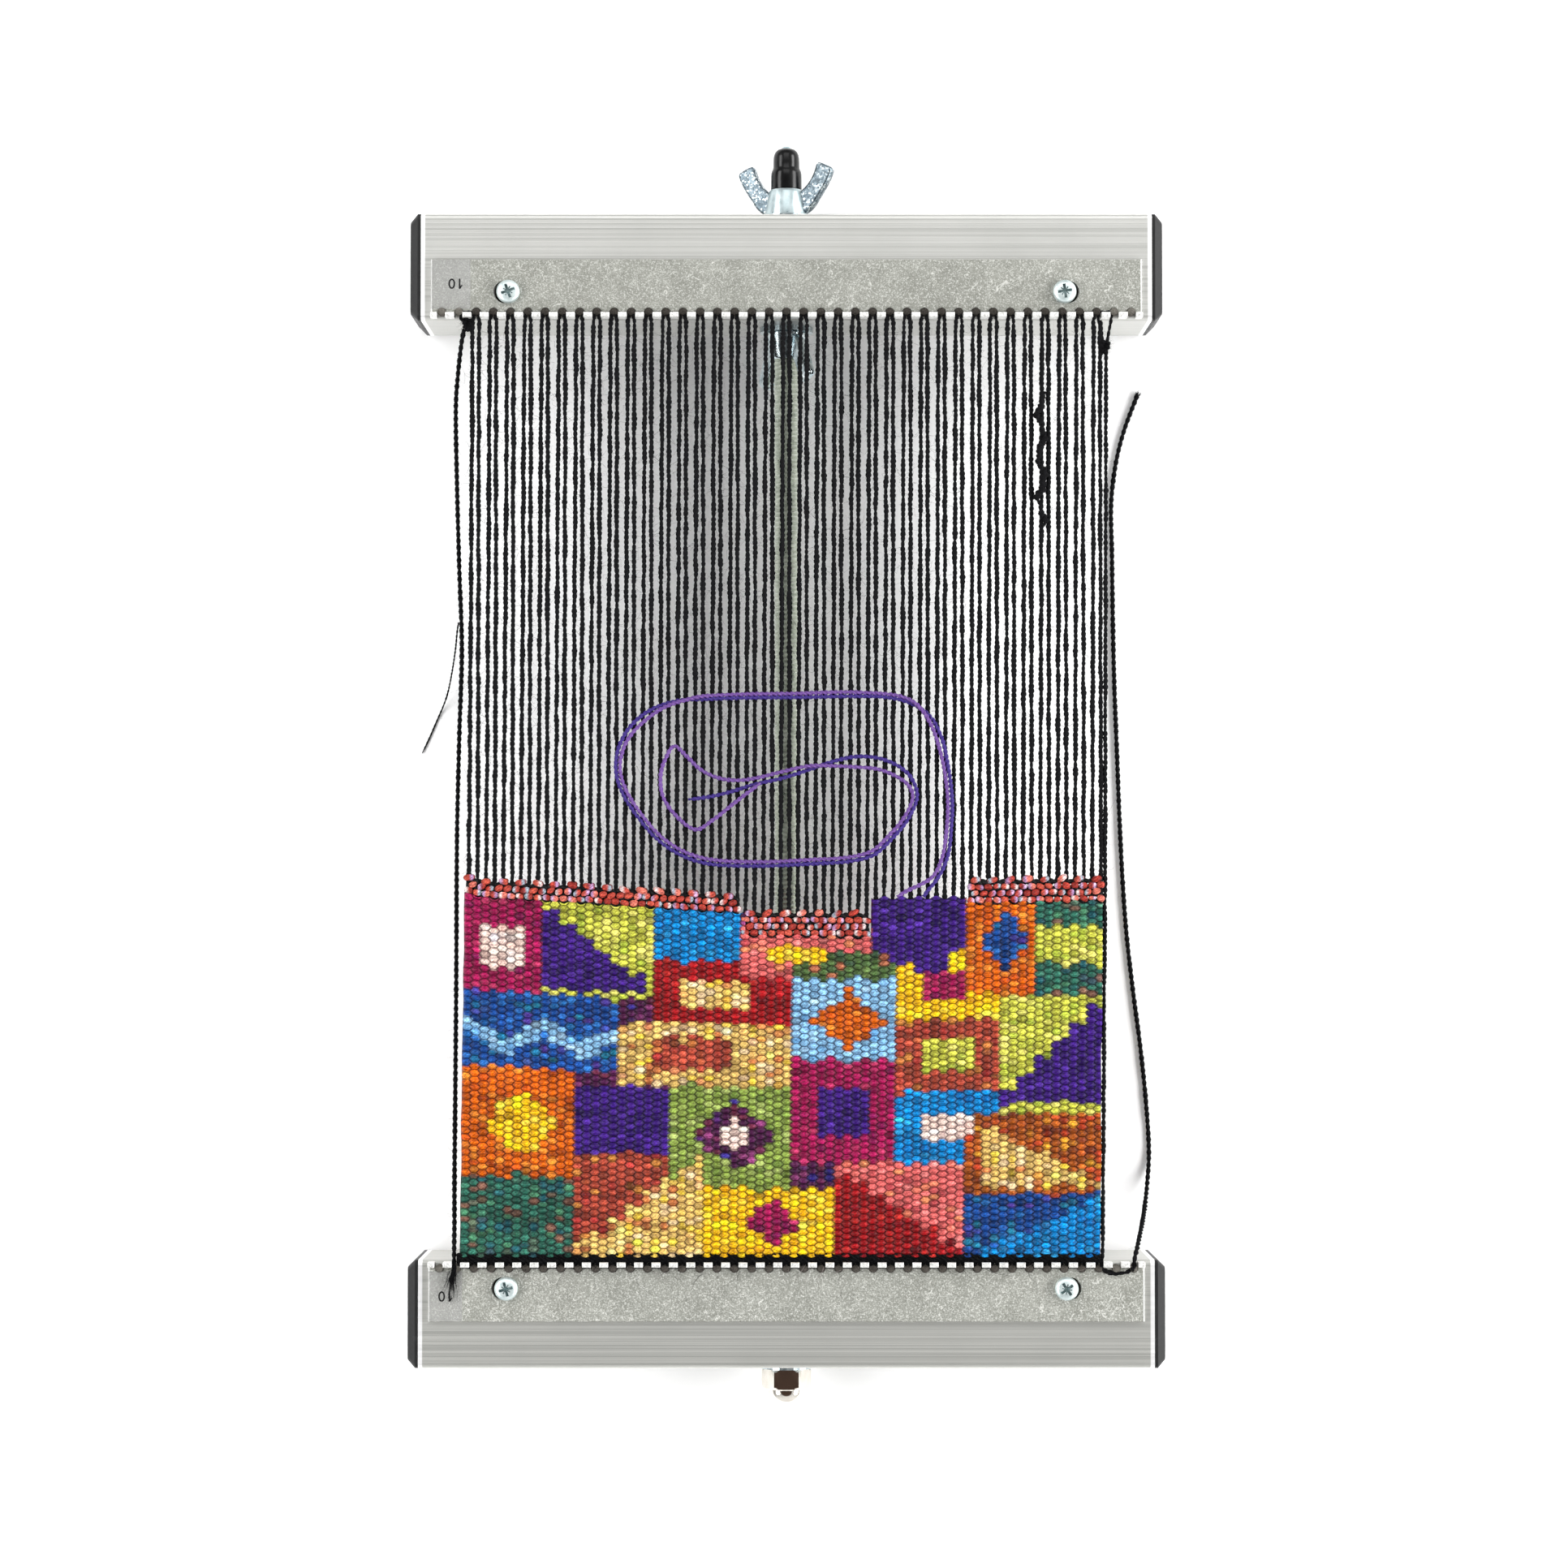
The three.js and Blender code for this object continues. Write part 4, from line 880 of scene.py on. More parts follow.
def edge_strand():
    """The extra strand beside the cloth, from the end knot to the lower comb."""
    top = 130.2
    route = [(94.0, top), (94.15, 127.5), (93.5, FELL_KINK), (92.49, -136.85), (92.16, -138.55),
             (92.16, -140.35), (93.47, -141.45), (96.01, -142.15), (99.06, -141.85), (100.58, -141.2)]
    verts, faces, _ = two_ply(moved(flat(route)), 0.7, 3.4, uneven=0.18, wander=0.08, split=0.4)
    shortens(add_mesh("edge_strand_yarn", verts, faces, BLACK, "base", replaces=("edge_strand",)))


def knot(name, node, place, ends):
    """A loop round a tooth, drawn into a small overhand knot under it, with short loose ends."""
    x, y = place
    half = 1.39 + 0.075 + 0.425   # a tooth's half width, a little air and the yarn's radius
    yarn = Parts()
    bend = max(y + 1.05, LIP_INNER - 0.7)
    loop = [(x - 0.5, y + 0.5), (x - half, bend), (x - half, LOOP_Y - 0.4), (x - half + 0.5, LOOP_Y),
            (x + half - 0.5, LOOP_Y), (x + half, LOOP_Y - 0.4), (x + half, bend), (x + 0.5, y + 0.5)]
    yarn.yarn(moved(flat(loop)), 0.55, 3.6, spacing=0.4)
    t = np.linspace(0, 2 * np.pi, 60)
    for scale, lift, turn in ((1.0, 0.0, 0.0), (0.82, 0.25, 1.1)):
        ring = np.stack([
            x + scale * (1.05 * np.sin(t + turn) + 0.4 * np.sin(2 * t)),
            y + scale * (1.5 * np.cos(t + turn) - 0.5 * np.cos(2 * t)),
            WARP_Z + lift + 0.45 * np.sin(3 * t),
        ], -1)
        yarn.yarn(moved(ring), 0.62, 3.0, spacing=0.3)
    for dx, dy in ends:
        tail = [(x, y, WARP_Z), (x + dx * 0.5, y + dy * 0.5, WARP_Z + 0.4), (x + dx, y + dy, WARP_Z + 0.2)]
        yarn.yarn(moved(smooth_curve(tail)), 0.3, 2.4, spacing=0.3, taper=(1.0, 0.4))
    count = 130
    roots = moved(np.array([x, y, WARP_Z]) + random.normal(size=(count, 3)) * 0.6)
    yarn.add(*hairs(roots, random.normal(size=(count, 3)) * np.array([1, 1, 0.4]),
                    random.uniform(1.0, 3.0, count)))
    add_mesh(name, yarn.points(), yarn.faces, BLACK, "upper_assembly", replaces=(node,))


def tassel():
    """The frayed end of the left tail, which lies over the lower comb."""
    count, few = 46, 20
    root = moved(np.array([-97.35, -141.4, 34.3]))
    roots = root + random.normal(size=(count, 3)) * np.array([0.45, 0.6, 0.15])
    out = np.stack([random.normal(-0.16, 0.14, count), np.full(count, -1.0), random.normal(0.02, 0.05, count)], -1)
    fibres = Parts().add(*hairs(roots, out, random.uniform(3.5, 8.6, count), 0.11, 0.07, 7))
    fibres.add(*hairs(roots[:few], out[:few] + random.normal(size=(few, 3)) * 0.25,
                      random.uniform(3, 7, few), 0.04, 0.35, 7))
    add_mesh("tail_tassel", fibres.points(), fibres.faces, BLACK, "upper_assembly")


def curly_strand():
    """A loose wavy strand of fluff that hangs beside one warp thread."""
    y = np.linspace(112, 72, 60) + 4.6
    x = 74.9 + 0.95 * np.sin(y * 0.5) + 0.4 * np.sin(y * 1.3)
    line = np.stack([x, y, 35.5 + 0.15 * np.sin(y)], -1)
    yarn = Parts()
    path = yarn.yarn(moved(line), 0.9, 3.0, spacing=0.4, uneven=0.4, taper=(0.4, 0.3))
    count = 160
    roots = path[(random.random(count) * len(path)).astype(int)]
    yarn.add(*hairs(roots, random.normal(size=(count, 3)) * np.array([1, 1, 0.4]),
                    random.uniform(0.8, 2.4, count), 0.03))
    shortens(add_mesh("fluff_strand", yarn.points(), yarn.faces, BLACK, "base"))


warp_upper()
warp_lower()
edge_strand()
knot("knot_start", "start_knot", KNOT_START, [(-1.6, -2.4), (1.0, -2.8)])
knot("knot_end", "end_knot", KNOT_END, [(-1.2, -3.4)])
tassel()
curly_strand()


# ---------------------------------------------------------------- cloth
DYES = {
    # main dye, accents, share of accent, length of a run in columns
    "sky": (0x86BEE3, (0xA9D4EC, 0x5E9FD2), 0.35, 3),
    "cyan": (0x0886CC, (0x2FA6E0, 0x0668B0), 0.3, 3),
    "deep": (0x17478F, (0x1E7C93, 0x4B2E86, 0x2C6DB8), 0.5, 2),
    "red": (0x98151A, (0xB82C26, 0x740E1A), 0.35, 3),
    "brick": (0xB04A36, (0x9B2B2C, 0xC98A3C, 0x7E3B2B), 0.5, 2),
    "orange": (0xD8640E, (0xC04C10, 0xEC9030), 0.4, 2),
    "amber": (0xA8561C, (0xDDA02D, 0x6E2F1D, 0xC23F24), 0.6, 2),
    "cream": (0xF6DCCB, (0xEFC6B4, 0xFFF0E4), 0.4, 3),
    "salmon": (0xE06A66, (0xF08C86, 0xC94E54, 0xDC8C58), 0.45, 2),
    "magenta": (0x9E1650, (0x7A1450, 0xBE3862), 0.45, 3),
    "lime": (0xC9CF4A, (0xA6BC3C, 0xE2E070), 0.5, 2),
    "olive": (0x86A046, (0x6E8B3B, 0xA3B765), 0.4, 2),
    "moss": (0x4E6B3A, (0x6E8A4B, 0xB4654B, 0x35503B), 0.5, 2),
    "teal": (0x2F6B58, (0x4C8A63, 0x8A5A4A, 0x1F5A66), 0.55, 2),
    "yellow": (0xFFC914, (0xF2AE08, 0xFFE04A), 0.35, 3),
    "violet": (0x3C1B78, (0x5530A0, 0x2A1060), 0.35, 3),
    "plum": (0x4B1A44, (0x2F2C86, 0xA24A86, 0x6B2A3E), 0.5, 2),
    "harvest": (0xE3C06A, (0xF2D9A8, 0xC86B3C, 0xF0D03A), 0.6, 2),
}
DYED = 0.98               # share of a dye's hex colour that the beads reflect
ROW_SHARE = 1.16          # picks of the design for each pick of the cloth
DESIGN_ROWS = 140
FRONT_ROWS = {"left": 105, "middle": 98, "purple": 110, "right": 108}


def zone_of(c):
    if c < 31.9:
        return "left"
    if c < 46.6:
        return "middle"
    return "purple" if c < 57.5 else "right"


def block(c0, c1, r0, r1, dye):
    return lambda c, r: (c >= c0) & (c < c1) & (r >= r0) & (r < r1), dye


def diamond(c, r, half_c, half_r, dye):
    return lambda x, y: np.abs(x - c) / half_c + np.abs(y - r) / half_r <= 1, dye


def wedge(c0, r0, c1, r1, dye, climb=1):
    """Stepped triangle: from one corner of a box to the other."""
    def inside(x, y):
        part = (np.floor((x - c0) / 2) * 2) / (c1 - c0)
        if climb < 0:
            part = 1 - part - 2 / (c1 - c0)
        return (x >= c0) & (x < c1) & (y >= r0) & (y < r0 + (r1 - r0) * (part + 0.12))
    return inside, dye


def zigzag(c0, c1, r, high, period, width, dye):
    def inside(x, y):
        wave = np.abs((x - c0) % period - period / 2) / (period / 2) * high
        return (x >= c0) & (x < c1) & (np.abs(y - r - wave) < width / 2)
    return inside, dye


DESIGN = [
    block(0, 74, 0, 140, "plum"),
    block(0, 13, 0, 27, "teal"), block(13, 28, 0, 35, "brick"), block(28, 43, 0, 24, "yellow"),
    block(43, 58, 0, 33, "salmon"), block(58, 74, 0, 22, "deep"),
    block(0, 13, 27, 64, "orange"), block(13, 24, 35, 58, "violet"), block(24, 38, 24, 60, "olive"),
    block(38, 50, 33, 70, "magenta"), block(50, 62, 33, 58, "cyan"), block(58, 74, 22, 50, "amber"),
    block(62, 74, 50, 92, "lime"), block(50, 62, 58, 84, "brick"),
    block(0, 18, 64, 90, "deep"), block(18, 38, 60, 82, "harvest"), block(38, 50, 70, 98, "sky"),
    block(0, 9, 90, 122, "magenta"), block(9, 22, 90, 122, "lime"), block(22, 38, 82, 104, "red"),
    block(22, 32, 104, 122, "cyan"), block(32, 48, 98, 118, "salmon"), block(38, 50, 98, 108, "moss"),
    block(50, 62, 84, 108, "yellow"), block(58, 66, 92, 132, "orange"), block(66, 74, 92, 132, "teal"),
    # motifs
    wedge(13, 0, 28, 34, "harvest"),
    diamond(6.5, 45, 4.4, 12, "yellow"),
    diamond(35.5, 12, 3.6, 8, "magenta"),
    wedge(43, 0, 58, 30, "red", -1),
    wedge(60, 0, 74, 20, "cyan"),
    diamond(31, 42, 5, 13, "plum"), diamond(31, 42, 2.2, 6, "cream"),
    block(41, 47, 42, 60, "violet"),
    block(53, 59, 41, 50, "cream"),
    wedge(60, 24, 74, 46, "harvest", -1),
    wedge(62, 54, 74, 90, "violet"),
    zigzag(0, 18, 70, 9, 9, 6, "sky"),
    block(22, 31, 66, 76, "brick"),
    diamond(44, 84, 4.5, 11, "orange"),
    block(53, 59, 65, 77, "lime"),
    wedge(9, 92, 22, 120, "violet", -1),
    block(25, 33, 88, 97, "harvest"),
    block(2, 7, 98, 112, "cream"),
    block(35, 42, 104, 110, "yellow"),
    block(53, 58, 91, 101, "magenta"),
    diamond(62, 112, 3, 10, "deep"),
    block(66, 74, 104, 116, "lime"),
    block(47, 58, 108, 132, "violet"), block(49, 52, 104, 108, "violet"), block(52, 56, 101, 108, "violet"),
]


def run_noise(rows, columns, run):
    """Noise along each pick that changes over a run of columns."""
    base = random.random((rows, columns + 2 * run))
    kernel = np.ones(run) / run
    smooth = np.apply_along_axis(lambda line: np.convolve(line, kernel, "same"), 1, base)[:, run:run + columns]
    smooth -= smooth.min()
    return smooth / smooth.max()


def dye_table(columns=THREADS, rows=DESIGN_ROWS):
    """Colour of each bead by column and row, from the design and the dyes."""
    r, c = np.mgrid[0:rows, 0:columns]
    chosen = np.zeros((rows, columns), int)
    names = list(DYES)
    ragged = np.round(random.normal(0, 0.35, (rows, columns))).astype(int)
    for inside, dye in DESIGN:
        chosen[inside(c, np.maximum((r + ragged) * ROW_SHARE, 0))] = names.index(dye)
    colours = np.zeros((rows, columns, 3))
    for index, (main, accents, share, run) in enumerate(DYES.values()):
        table = np.tile(np.array(linear(main)[:3]), (rows, columns, 1))
        for accent in accents:
            n = run_noise(rows, columns, run)
            cut = np.quantile(n, 1 - share / len(accents))
            part = np.clip((n - cut) / 0.12, 0, 1)[..., None] * 0.85
            table = table * (1 - part) + np.array(linear(accent)[:3]) * part
        table *= (1 + 0.2 * random.normal(size=(rows, columns)))[..., None]
        table *= (1 + 0.14 * random.normal(size=(rows, 1)))[..., None]
        colours = np.where((chosen == index)[..., None], table, colours)
    return np.clip(colours, 0.003, 1)


def row_pitch(x):
    """Height of one pick across the cloth: the rows fan out towards the left edge."""
    return ROW_SHARE * np.interp(x, [-96, -88, -54, -12, 26, 53, 96],
                                 [0.875, 0.858, 0.842, 0.82, 0.818, 0.82, 0.825])


def cloth_x(u, y):
    return column(np.minimum(u, LAST)) + np.maximum(u - LAST, 0) * 1.3 + drift(y)


def bead_relief(u, v, odd):
    """Height 0 to 1 of the bead at a place, and the column and row of that bead."""
    best = np.full(u.shape, -1.0)
    best_c = np.zeros(u.shape, int)
    best_r = np.zeros(u.shape, int)
    near = np.round(u).astype(int)
    for step in (-1, 0, 1):
        c = near + step
        shift = (c + odd) % 2
        centre = np.round((v - shift) / 2) * 2 + shift
        e = ((u - c) / BEAD_ACROSS) ** 2 + ((v - centre) / BEAD_UP) ** 2
        h = np.sqrt(np.clip(1 - e, 0, 1)) - 0.001 * np.abs(step)
        h = np.where((c < 0) | (c >= THREADS), -1, h)
        better = h > best
        best = np.where(better, h, best)
        best_c = np.where(better, c, best_c)
        best_r = np.where(better, centre.astype(int), best_r)
    return np.clip(best, 0, 1), best_c, best_r


def patchy(u, v, size):
    """Smooth noise over the cloth, about -1 to 1, with patches a few beads wide."""
    knots = random.uniform(-1, 1, (int(THREADS / size) + 3, int(DESIGN_ROWS / (2 * size)) + 3))
    a, b = (u + 1) / size, v / (2 * size)
    i, j = a.astype(int), b.astype(int)
    s, t = a - i, b - j
    s, t = s * s * (3 - 2 * s), t * t * (3 - 2 * t)
    low = knots[i, j] * (1 - s) + knots[i + 1, j] * s
    high = knots[i, j + 1] * (1 - s) + knots[i + 1, j + 1] * s
    return low * (1 - t) + high * t


CLOTH_SAMPLES_ACROSS = 4     # for each warp thread
CLOTH_SAMPLES_PER_PICK = 2
TABLE_FROM = 40.0            # the weave attribute starts here, so that it is never negative


def cloth():
    """The weft-faced cloth as one closed sheet with every bead in relief on both faces."""
    across = np.arange(-0.5, LAST + 0.5 + 1e-6, 1 / CLOTH_SAMPLES_ACROSS)
    most = max(FRONT_ROWS.values())
    up = np.arange(0, most + 1e-6, 1 / CLOTH_SAMPLES_PER_PICK)
    u, v = np.meshgrid(across, up, indexing="ij")
    y = CLOTH_BOTTOM + v * row_pitch(column(u))
    inner = np.clip(v / 8, 0, 1) * np.clip((most - v) / 20, 0, 1)
    x = cloth_x(u, y) + inner * (0.16 * patchy(u, v, 3.1) + 0.07 * np.sin(u * 1.7 + 0.3 * v))
    y = y + inner * (0.25 * np.sin(u * 0.21 + 1.0) + 0.42 * patchy(u, v, 4.7))
    limits = np.array([FRONT_ROWS[zone_of(c)] for c in across])[:, None]
    tooth = (1 + np.cos(np.pi * u)) / 2
    y = y - 0.6 * tooth * np.clip(1 - v / 3, 0, 1)
    y = y + 0.5 * (2 * tooth - 1) * np.clip(1 - np.abs(limits - v), 0, 1)
    table = dye_table()
    layers = []
    colours = []
    edge = np.minimum(u + 0.5, LAST + 0.5 - u) / 0.5
    side_round = np.sqrt(np.clip(1 - (1 - np.clip(edge, 0, 1)) ** 2, 0, 1))
    for side, odd in ((1, 0), (-1, 1)):
        h, c, r = bead_relief(u, v, odd)
        depth = (0.62 + 0.9 * np.clip((h - 0.42) / 0.58, 0, 1)) * (0.25 + 0.75 * side_round)
        z = WARP_Z + side * depth
        layers.append(np.stack([x, y, z], -1))
        colours.append(table[np.clip(r, 0, DESIGN_ROWS - 1), np.clip(c, 0, LAST)])
    limit = np.array([FRONT_ROWS[zone_of(c)] for c in (across[:-1] + across[1:]) / 2])
    keep = (up[:-1][None, :] + 1e-6 < limit[:, None])
    rows = len(up)
    total = u.size

    def at(i, j, layer):
        return layer * total + i * rows + j

    i, j = np.nonzero(keep)
    front = np.stack([at(i, j, 0), at(i + 1, j, 0), at(i + 1, j + 1, 0), at(i, j + 1, 0)], -1)
    back = np.stack([at(i, j, 1), at(i, j + 1, 1), at(i + 1, j + 1, 1), at(i + 1, j, 1)], -1)
    padded_keep = np.pad(keep, 1)
    walls = []
    for di, dj, a, b in ((-1, 0, (0, 0), (0, 1)), (1, 0, (1, 1), (1, 0)),
                         (0, -1, (1, 0), (0, 0)), (0, 1, (0, 1), (1, 1))):
        outside = ~padded_keep[i + 1 + di, j + 1 + dj]
        p, q = i[outside], j[outside]
        first = (p + a[0], q + a[1])
        second = (p + b[0], q + b[1])
        walls.append(np.stack([at(*first, 0), at(*second, 0), at(*second, 1), at(*first, 1)], -1))
    faces = np.concatenate([front, back] + walls)
    used, index = np.unique(faces, return_inverse=True)
    faces = index.reshape(faces.shape)
    verts = np.concatenate([layer.reshape(-1, 3) for layer in layers])[used]
    dyes = np.concatenate([colour.reshape(-1, 3) for colour in colours])[used]
    places = np.concatenate([np.stack([u + TABLE_FROM, v + TABLE_FROM + side, 0 * u], -1).reshape(-1, 3)
                             for side in (0, 1)])[used]
    piece = add_mesh("tapestry", moved(verts), faces.tolist(), WOVEN, "base", replaces=("weaving",))
    paint(piece, dyes)
    weave = piece.data.attributes.new("weave", "FLOAT_VECTOR", "POINT")
    weave.data.foreach_set("vector", places.astype(np.float32).ravel())
    return piece


def paint(piece, dyes):
    layer = piece.data.color_attributes.new("dye", "FLOAT_COLOR", "POINT")
    rgba = np.concatenate([np.asarray(dyes) * DYED, np.ones((len(dyes), 1))], 1).astype(np.float32)
    layer.data.foreach_set("color", rgba.ravel())


def bead(centre, size, tilt, segments=10, rings=7, twist=0.5):
    """One twined bead: a rounded oval with the plies' groove across it."""
    lat = np.linspace(-np.pi / 2, np.pi / 2, rings)
    lon = np.arange(segments) * 2 * np.pi / segments
    la, lo = np.meshgrid(lat, lon, indexing="ij")
    p = np.stack([np.sin(la), np.cos(la) * np.cos(lo), np.cos(la) * np.sin(lo)], -1)
    groove = 1 - 0.12 * np.cos(2 * (lo + la * twist * 2))
    p[..., 1:] *= groove[..., None]
    p = p * np.asarray(size) / 2
    a = math.radians(tilt)
    x, y = p[..., 0].copy(), p[..., 1].copy()
    p[..., 0] = x * math.cos(a) - y * math.sin(a)
    p[..., 1] = x * math.sin(a) + y * math.cos(a)
    return (p + np.asarray(centre)).reshape(-1, 3), grid_faces(rings, segments)


FLECKS = [linear(c)[:3] for c in (0xB04034, 0xC25442, 0x97332B, 0xB4483A, 0xD67462)]
PALE_FLECKS = [linear(c)[:3] for c in (0xEDE6E2, 0xB49BCB, 0x9FC0CC, 0xC9B2D8)]


def fell_height(c):
    """Y of the top of the plain cloth under the twined rows, at a column."""
    return CLOTH_BOTTOM + FRONT_ROWS[zone_of(c)] * row_pitch(column(c))


def twined_rows():
    """Rows of speckled twined yarn along the fell, with black yarn between the pairs at the top; each bead is painted
    darker towards its ends as shade.
    """
    beads = Parts()
    dyes = []
    step = 1.95
    for first, last, count in ((0, 31, 3), (32, 46, 4), (58, LAST, 4)):
        along = np.arange(first - 0.3, last + 0.31, 0.25)
        for gap in range(count):
            y = np.array([fell_height(min(max(c, first), last)) for c in along]) + 0.2 + gap * step
            core = np.stack([cloth_x(along, y), y, np.full(len(along), WARP_Z)], -1)
            before = beads.count
            beads.yarn(moved(core), 1.0, 4.0, spacing=0.6, uneven=0.2)
            dyes.append(np.tile(linear(0x121213)[:3], (beads.count - before, 1)))
        for row in range(count):
            top = row == count - 1
            lean = 20 if row % 2 else -14
            for c in np.arange(first + (0.5 if row % 2 else 0.0), last + 0.1, 2.0 if top else 1.0):
                y = fell_height(min(c, last)) + 0.95 + row * step + random.normal(0, 0.13)
                x = float(cloth_x(np.array(c + random.normal(0, 0.04)), y))
                size = np.array([3.3, 2.1, 2.1] if top else [2.6, 2.05, 2.0]) * random.normal(1, 0.08, 3)
                base = FLECKS[random.integers(len(FLECKS))]
                pale = PALE_FLECKS[random.integers(len(PALE_FLECKS))]
                for side in (1, -1):
                    verts, faces = bead((x, y + SHIFT_Y, WARP_Z + side * 0.6), size, random.normal(lean, 9) * side)
                    beads.add(verts, faces)
                    part = np.zeros(len(verts))
                    if random.random() < 0.65:
                        centre = random.choice([-0.8, 0.8])
                        part = np.clip(1.3 - np.abs(verts[:, 0] - x - centre) / 0.6, 0, 1) * 0.95
                    # painted shade: each bead darker towards its ends
                    edge = np.clip((np.abs(verts[:, 0] - x) - size[0] * 0.36) / 0.6, 0, 0.7)[:, None]
                    mixed = np.array(base) * (1 - part[:, None]) + np.array(pale) * part[:, None]
                    dyes.append(mixed * (1 - edge))
    piece = add_mesh("fell_twining", beads.points(), beads.faces, WOVEN, "base")
    paint(piece, np.concatenate(dyes))
    return piece


def header_twining():
    """Black fluffy rows between the cloth and the lower comb."""
    rows = Parts()
    for y in (-136.75, -137.55, -138.2):
        x = np.linspace(-96.4, 91.9, 120)
        for lift in (0.45, -0.45):
            core = np.stack([x, y + 0.12 * np.sin(x * 0.9 + y * 7), np.full(len(x), WARP_Z + lift)], -1)
            rows.yarn(moved(core), 0.82, 3.4, uneven=0.2, phase=y * 3 + lift)
    count = 5200
    roots = np.stack([random.uniform(-96.3, 91.8, count), random.uniform(-138.7, -136.3, count),
                      random.uniform(34.4, 35.2, count)], -1)
    out = random.normal(size=(count, 3)) * np.array([1.0, 0.7, 0.4])
    out[:, 2] = np.abs(out[:, 2])
    rows.add(*hairs(moved(roots), out, random.uniform(0.6, 2.0, count), 0.045, 0.6))
    return add_mesh("header_twining", rows.points(), rows.faces, BLACK, "base",
                    replaces=("header_rows",))


def stray_fibres():
    """Long loose fibres that lie over the lower comb's edge, some dark and some pale."""
    pale_look = yarn_look("pale_fibre", 0xB9A9A6, 0xE6DCDA, 0.6, 0.3)
    for name, material, count, slot in (("dark_fibres", BLACK, 60, "black_yarn"),
                                        ("pale_fibres", pale_look, 22, "woven_yarn")):
        roots = np.stack([random.uniform(-95, 92, count), random.uniform(-142.5, -138, count),
                          random.uniform(33.6, 34.4, count)], -1)
        out = np.stack([random.normal(0, 1.0, count), random.normal(-0.35, 0.5, count),
                        random.uniform(-0.04, 0.06, count)], -1)
        fine, fine_faces = hairs(moved(roots), out, random.uniform(3, 10, count), 0.05, 0.3, 9)
        fine[:, 2] = np.clip(fine[:, 2], 33.5, 35.4)
        add_mesh(name, fine, fine_faces, material, "base")


stray_fibres()
tapestry = cloth()
fell = twined_rows()
hem = header_twining()


# ---------------------------------------------------------------- combs
COMB_HALF = 104.775       # half a comb's length
COMB_WIDE = 17.25
NOTCH = 1.27              # half a notch's width
BAR_TOP = 31.8            # height of the bars' faces; a comb is 1.4 thick and its teeth 4.8 high
SUNK = 31.76              # the painted-shade pads start a little under that face
COMB_TOP, SEAT = 33.2, 33.25   # the combs' faces, and the screws' heads just above them
NOTCHES = range(-20, 21)
SCREW_X, SCREW_Y = 82, LIP_INNER + 7.6
SLOT = 3.25               # radius of a screw slot's ends


def comb(name, upper):
    """A notched strip with a raised lip, its notches round at the bottom."""
    outline = [(-COMB_HALF, LIP_INNER)]
    for place in NOTCHES:
        x = place * DENT
        outline += [(x - NOTCH, LIP_INNER)] + arc((x, NOTCH_END), NOTCH, 180, 0, 12) + [(x + NOTCH, LIP_INNER)]
    outline += rectangle(-COMB_HALF, COMB_HALF, LIP_INNER, LIP_INNER + COMB_WIDE)[1:]
    holes = [arc((side * SCREW_X + right - SLOT, SCREW_Y), SLOT, -90, 90, 14)
             + arc((side * SCREW_X - left + SLOT, SCREW_Y), SLOT, 90, 270, 14)
             for side, right, left in ((-1, 3.3, 4.3), (1, 4.3, 3.3))]
    strip = Parts()
    verts, faces = from_curve([outline] + holes, 1.4, 0.12)
    strip.add(verts + np.array([0, 0, BAR_TOP + 0.7]), faces)
    plate = len(strip.faces)
    edges = [-COMB_HALF] + [place * DENT + s * NOTCH for place in NOTCHES for s in (-1, 1)] + [COMB_HALF]
    for left, right in zip(edges[::2], edges[1::2]):
        verts, faces = from_curve([rectangle(left, right, LIP_INNER - 0.3, LIP_OUTER)], 4.8, 0.32)
        strip.add(verts + np.array([0, 0, BAR_TOP + 2.4]), faces)
    # fluff carries the comb's painted notch shade
    if upper:
        turn, body, metal, fluff = np.array([1, 1, 1]), "upper_assembly", COMB_UPPER, NOTCH_SHADE
    else:
        turn, body, metal, fluff = np.array([-1, -1, 1]), "base", COMB_LOWER, NOTCH_SHADE_PALE
    piece = add_mesh(name + "_strip", moved(strip.points() * turn), strip.faces, metal, body,
                     smooth=False, replaces=(name,))
    # the teeth get the near-white material, a painted highlight
    mark(piece, TEETH_HIGHLIGHT, piece.data.polygons[plate:])
    # painted shade: dark pads under the used notches and the screw slots, grey pads under the empty notches
    for kind, material, places in (("lint", fluff, range(-18, 19)), ("dust", EMPTY_NOTCH_SHADE, (-20, -19, 19, 20))):
        pads = Parts()
        for place in places:
            verts, faces = lathe([(0.01, 0.0), (1.16, 0.0), (1.16, 2.0), (1.0, 2.16), (0.01, 2.2)], 20)
            pads.add(upright(verts) + np.array([place * DENT, NOTCH_END, SUNK]), faces)
        if kind == "lint":
            for side in (-1, 1):
                verts, faces = lathe([(0.01, 0.0), (3.2, 0.0), (3.2, 0.2), (0.01, 0.22)], 32)
                pads.add(upright(verts) + np.array([side * 82.95, SCREW_Y, SUNK]), faces)
        add_mesh(f"{name}_{kind}", moved(pads.points() * turn), pads.faces, material, body)


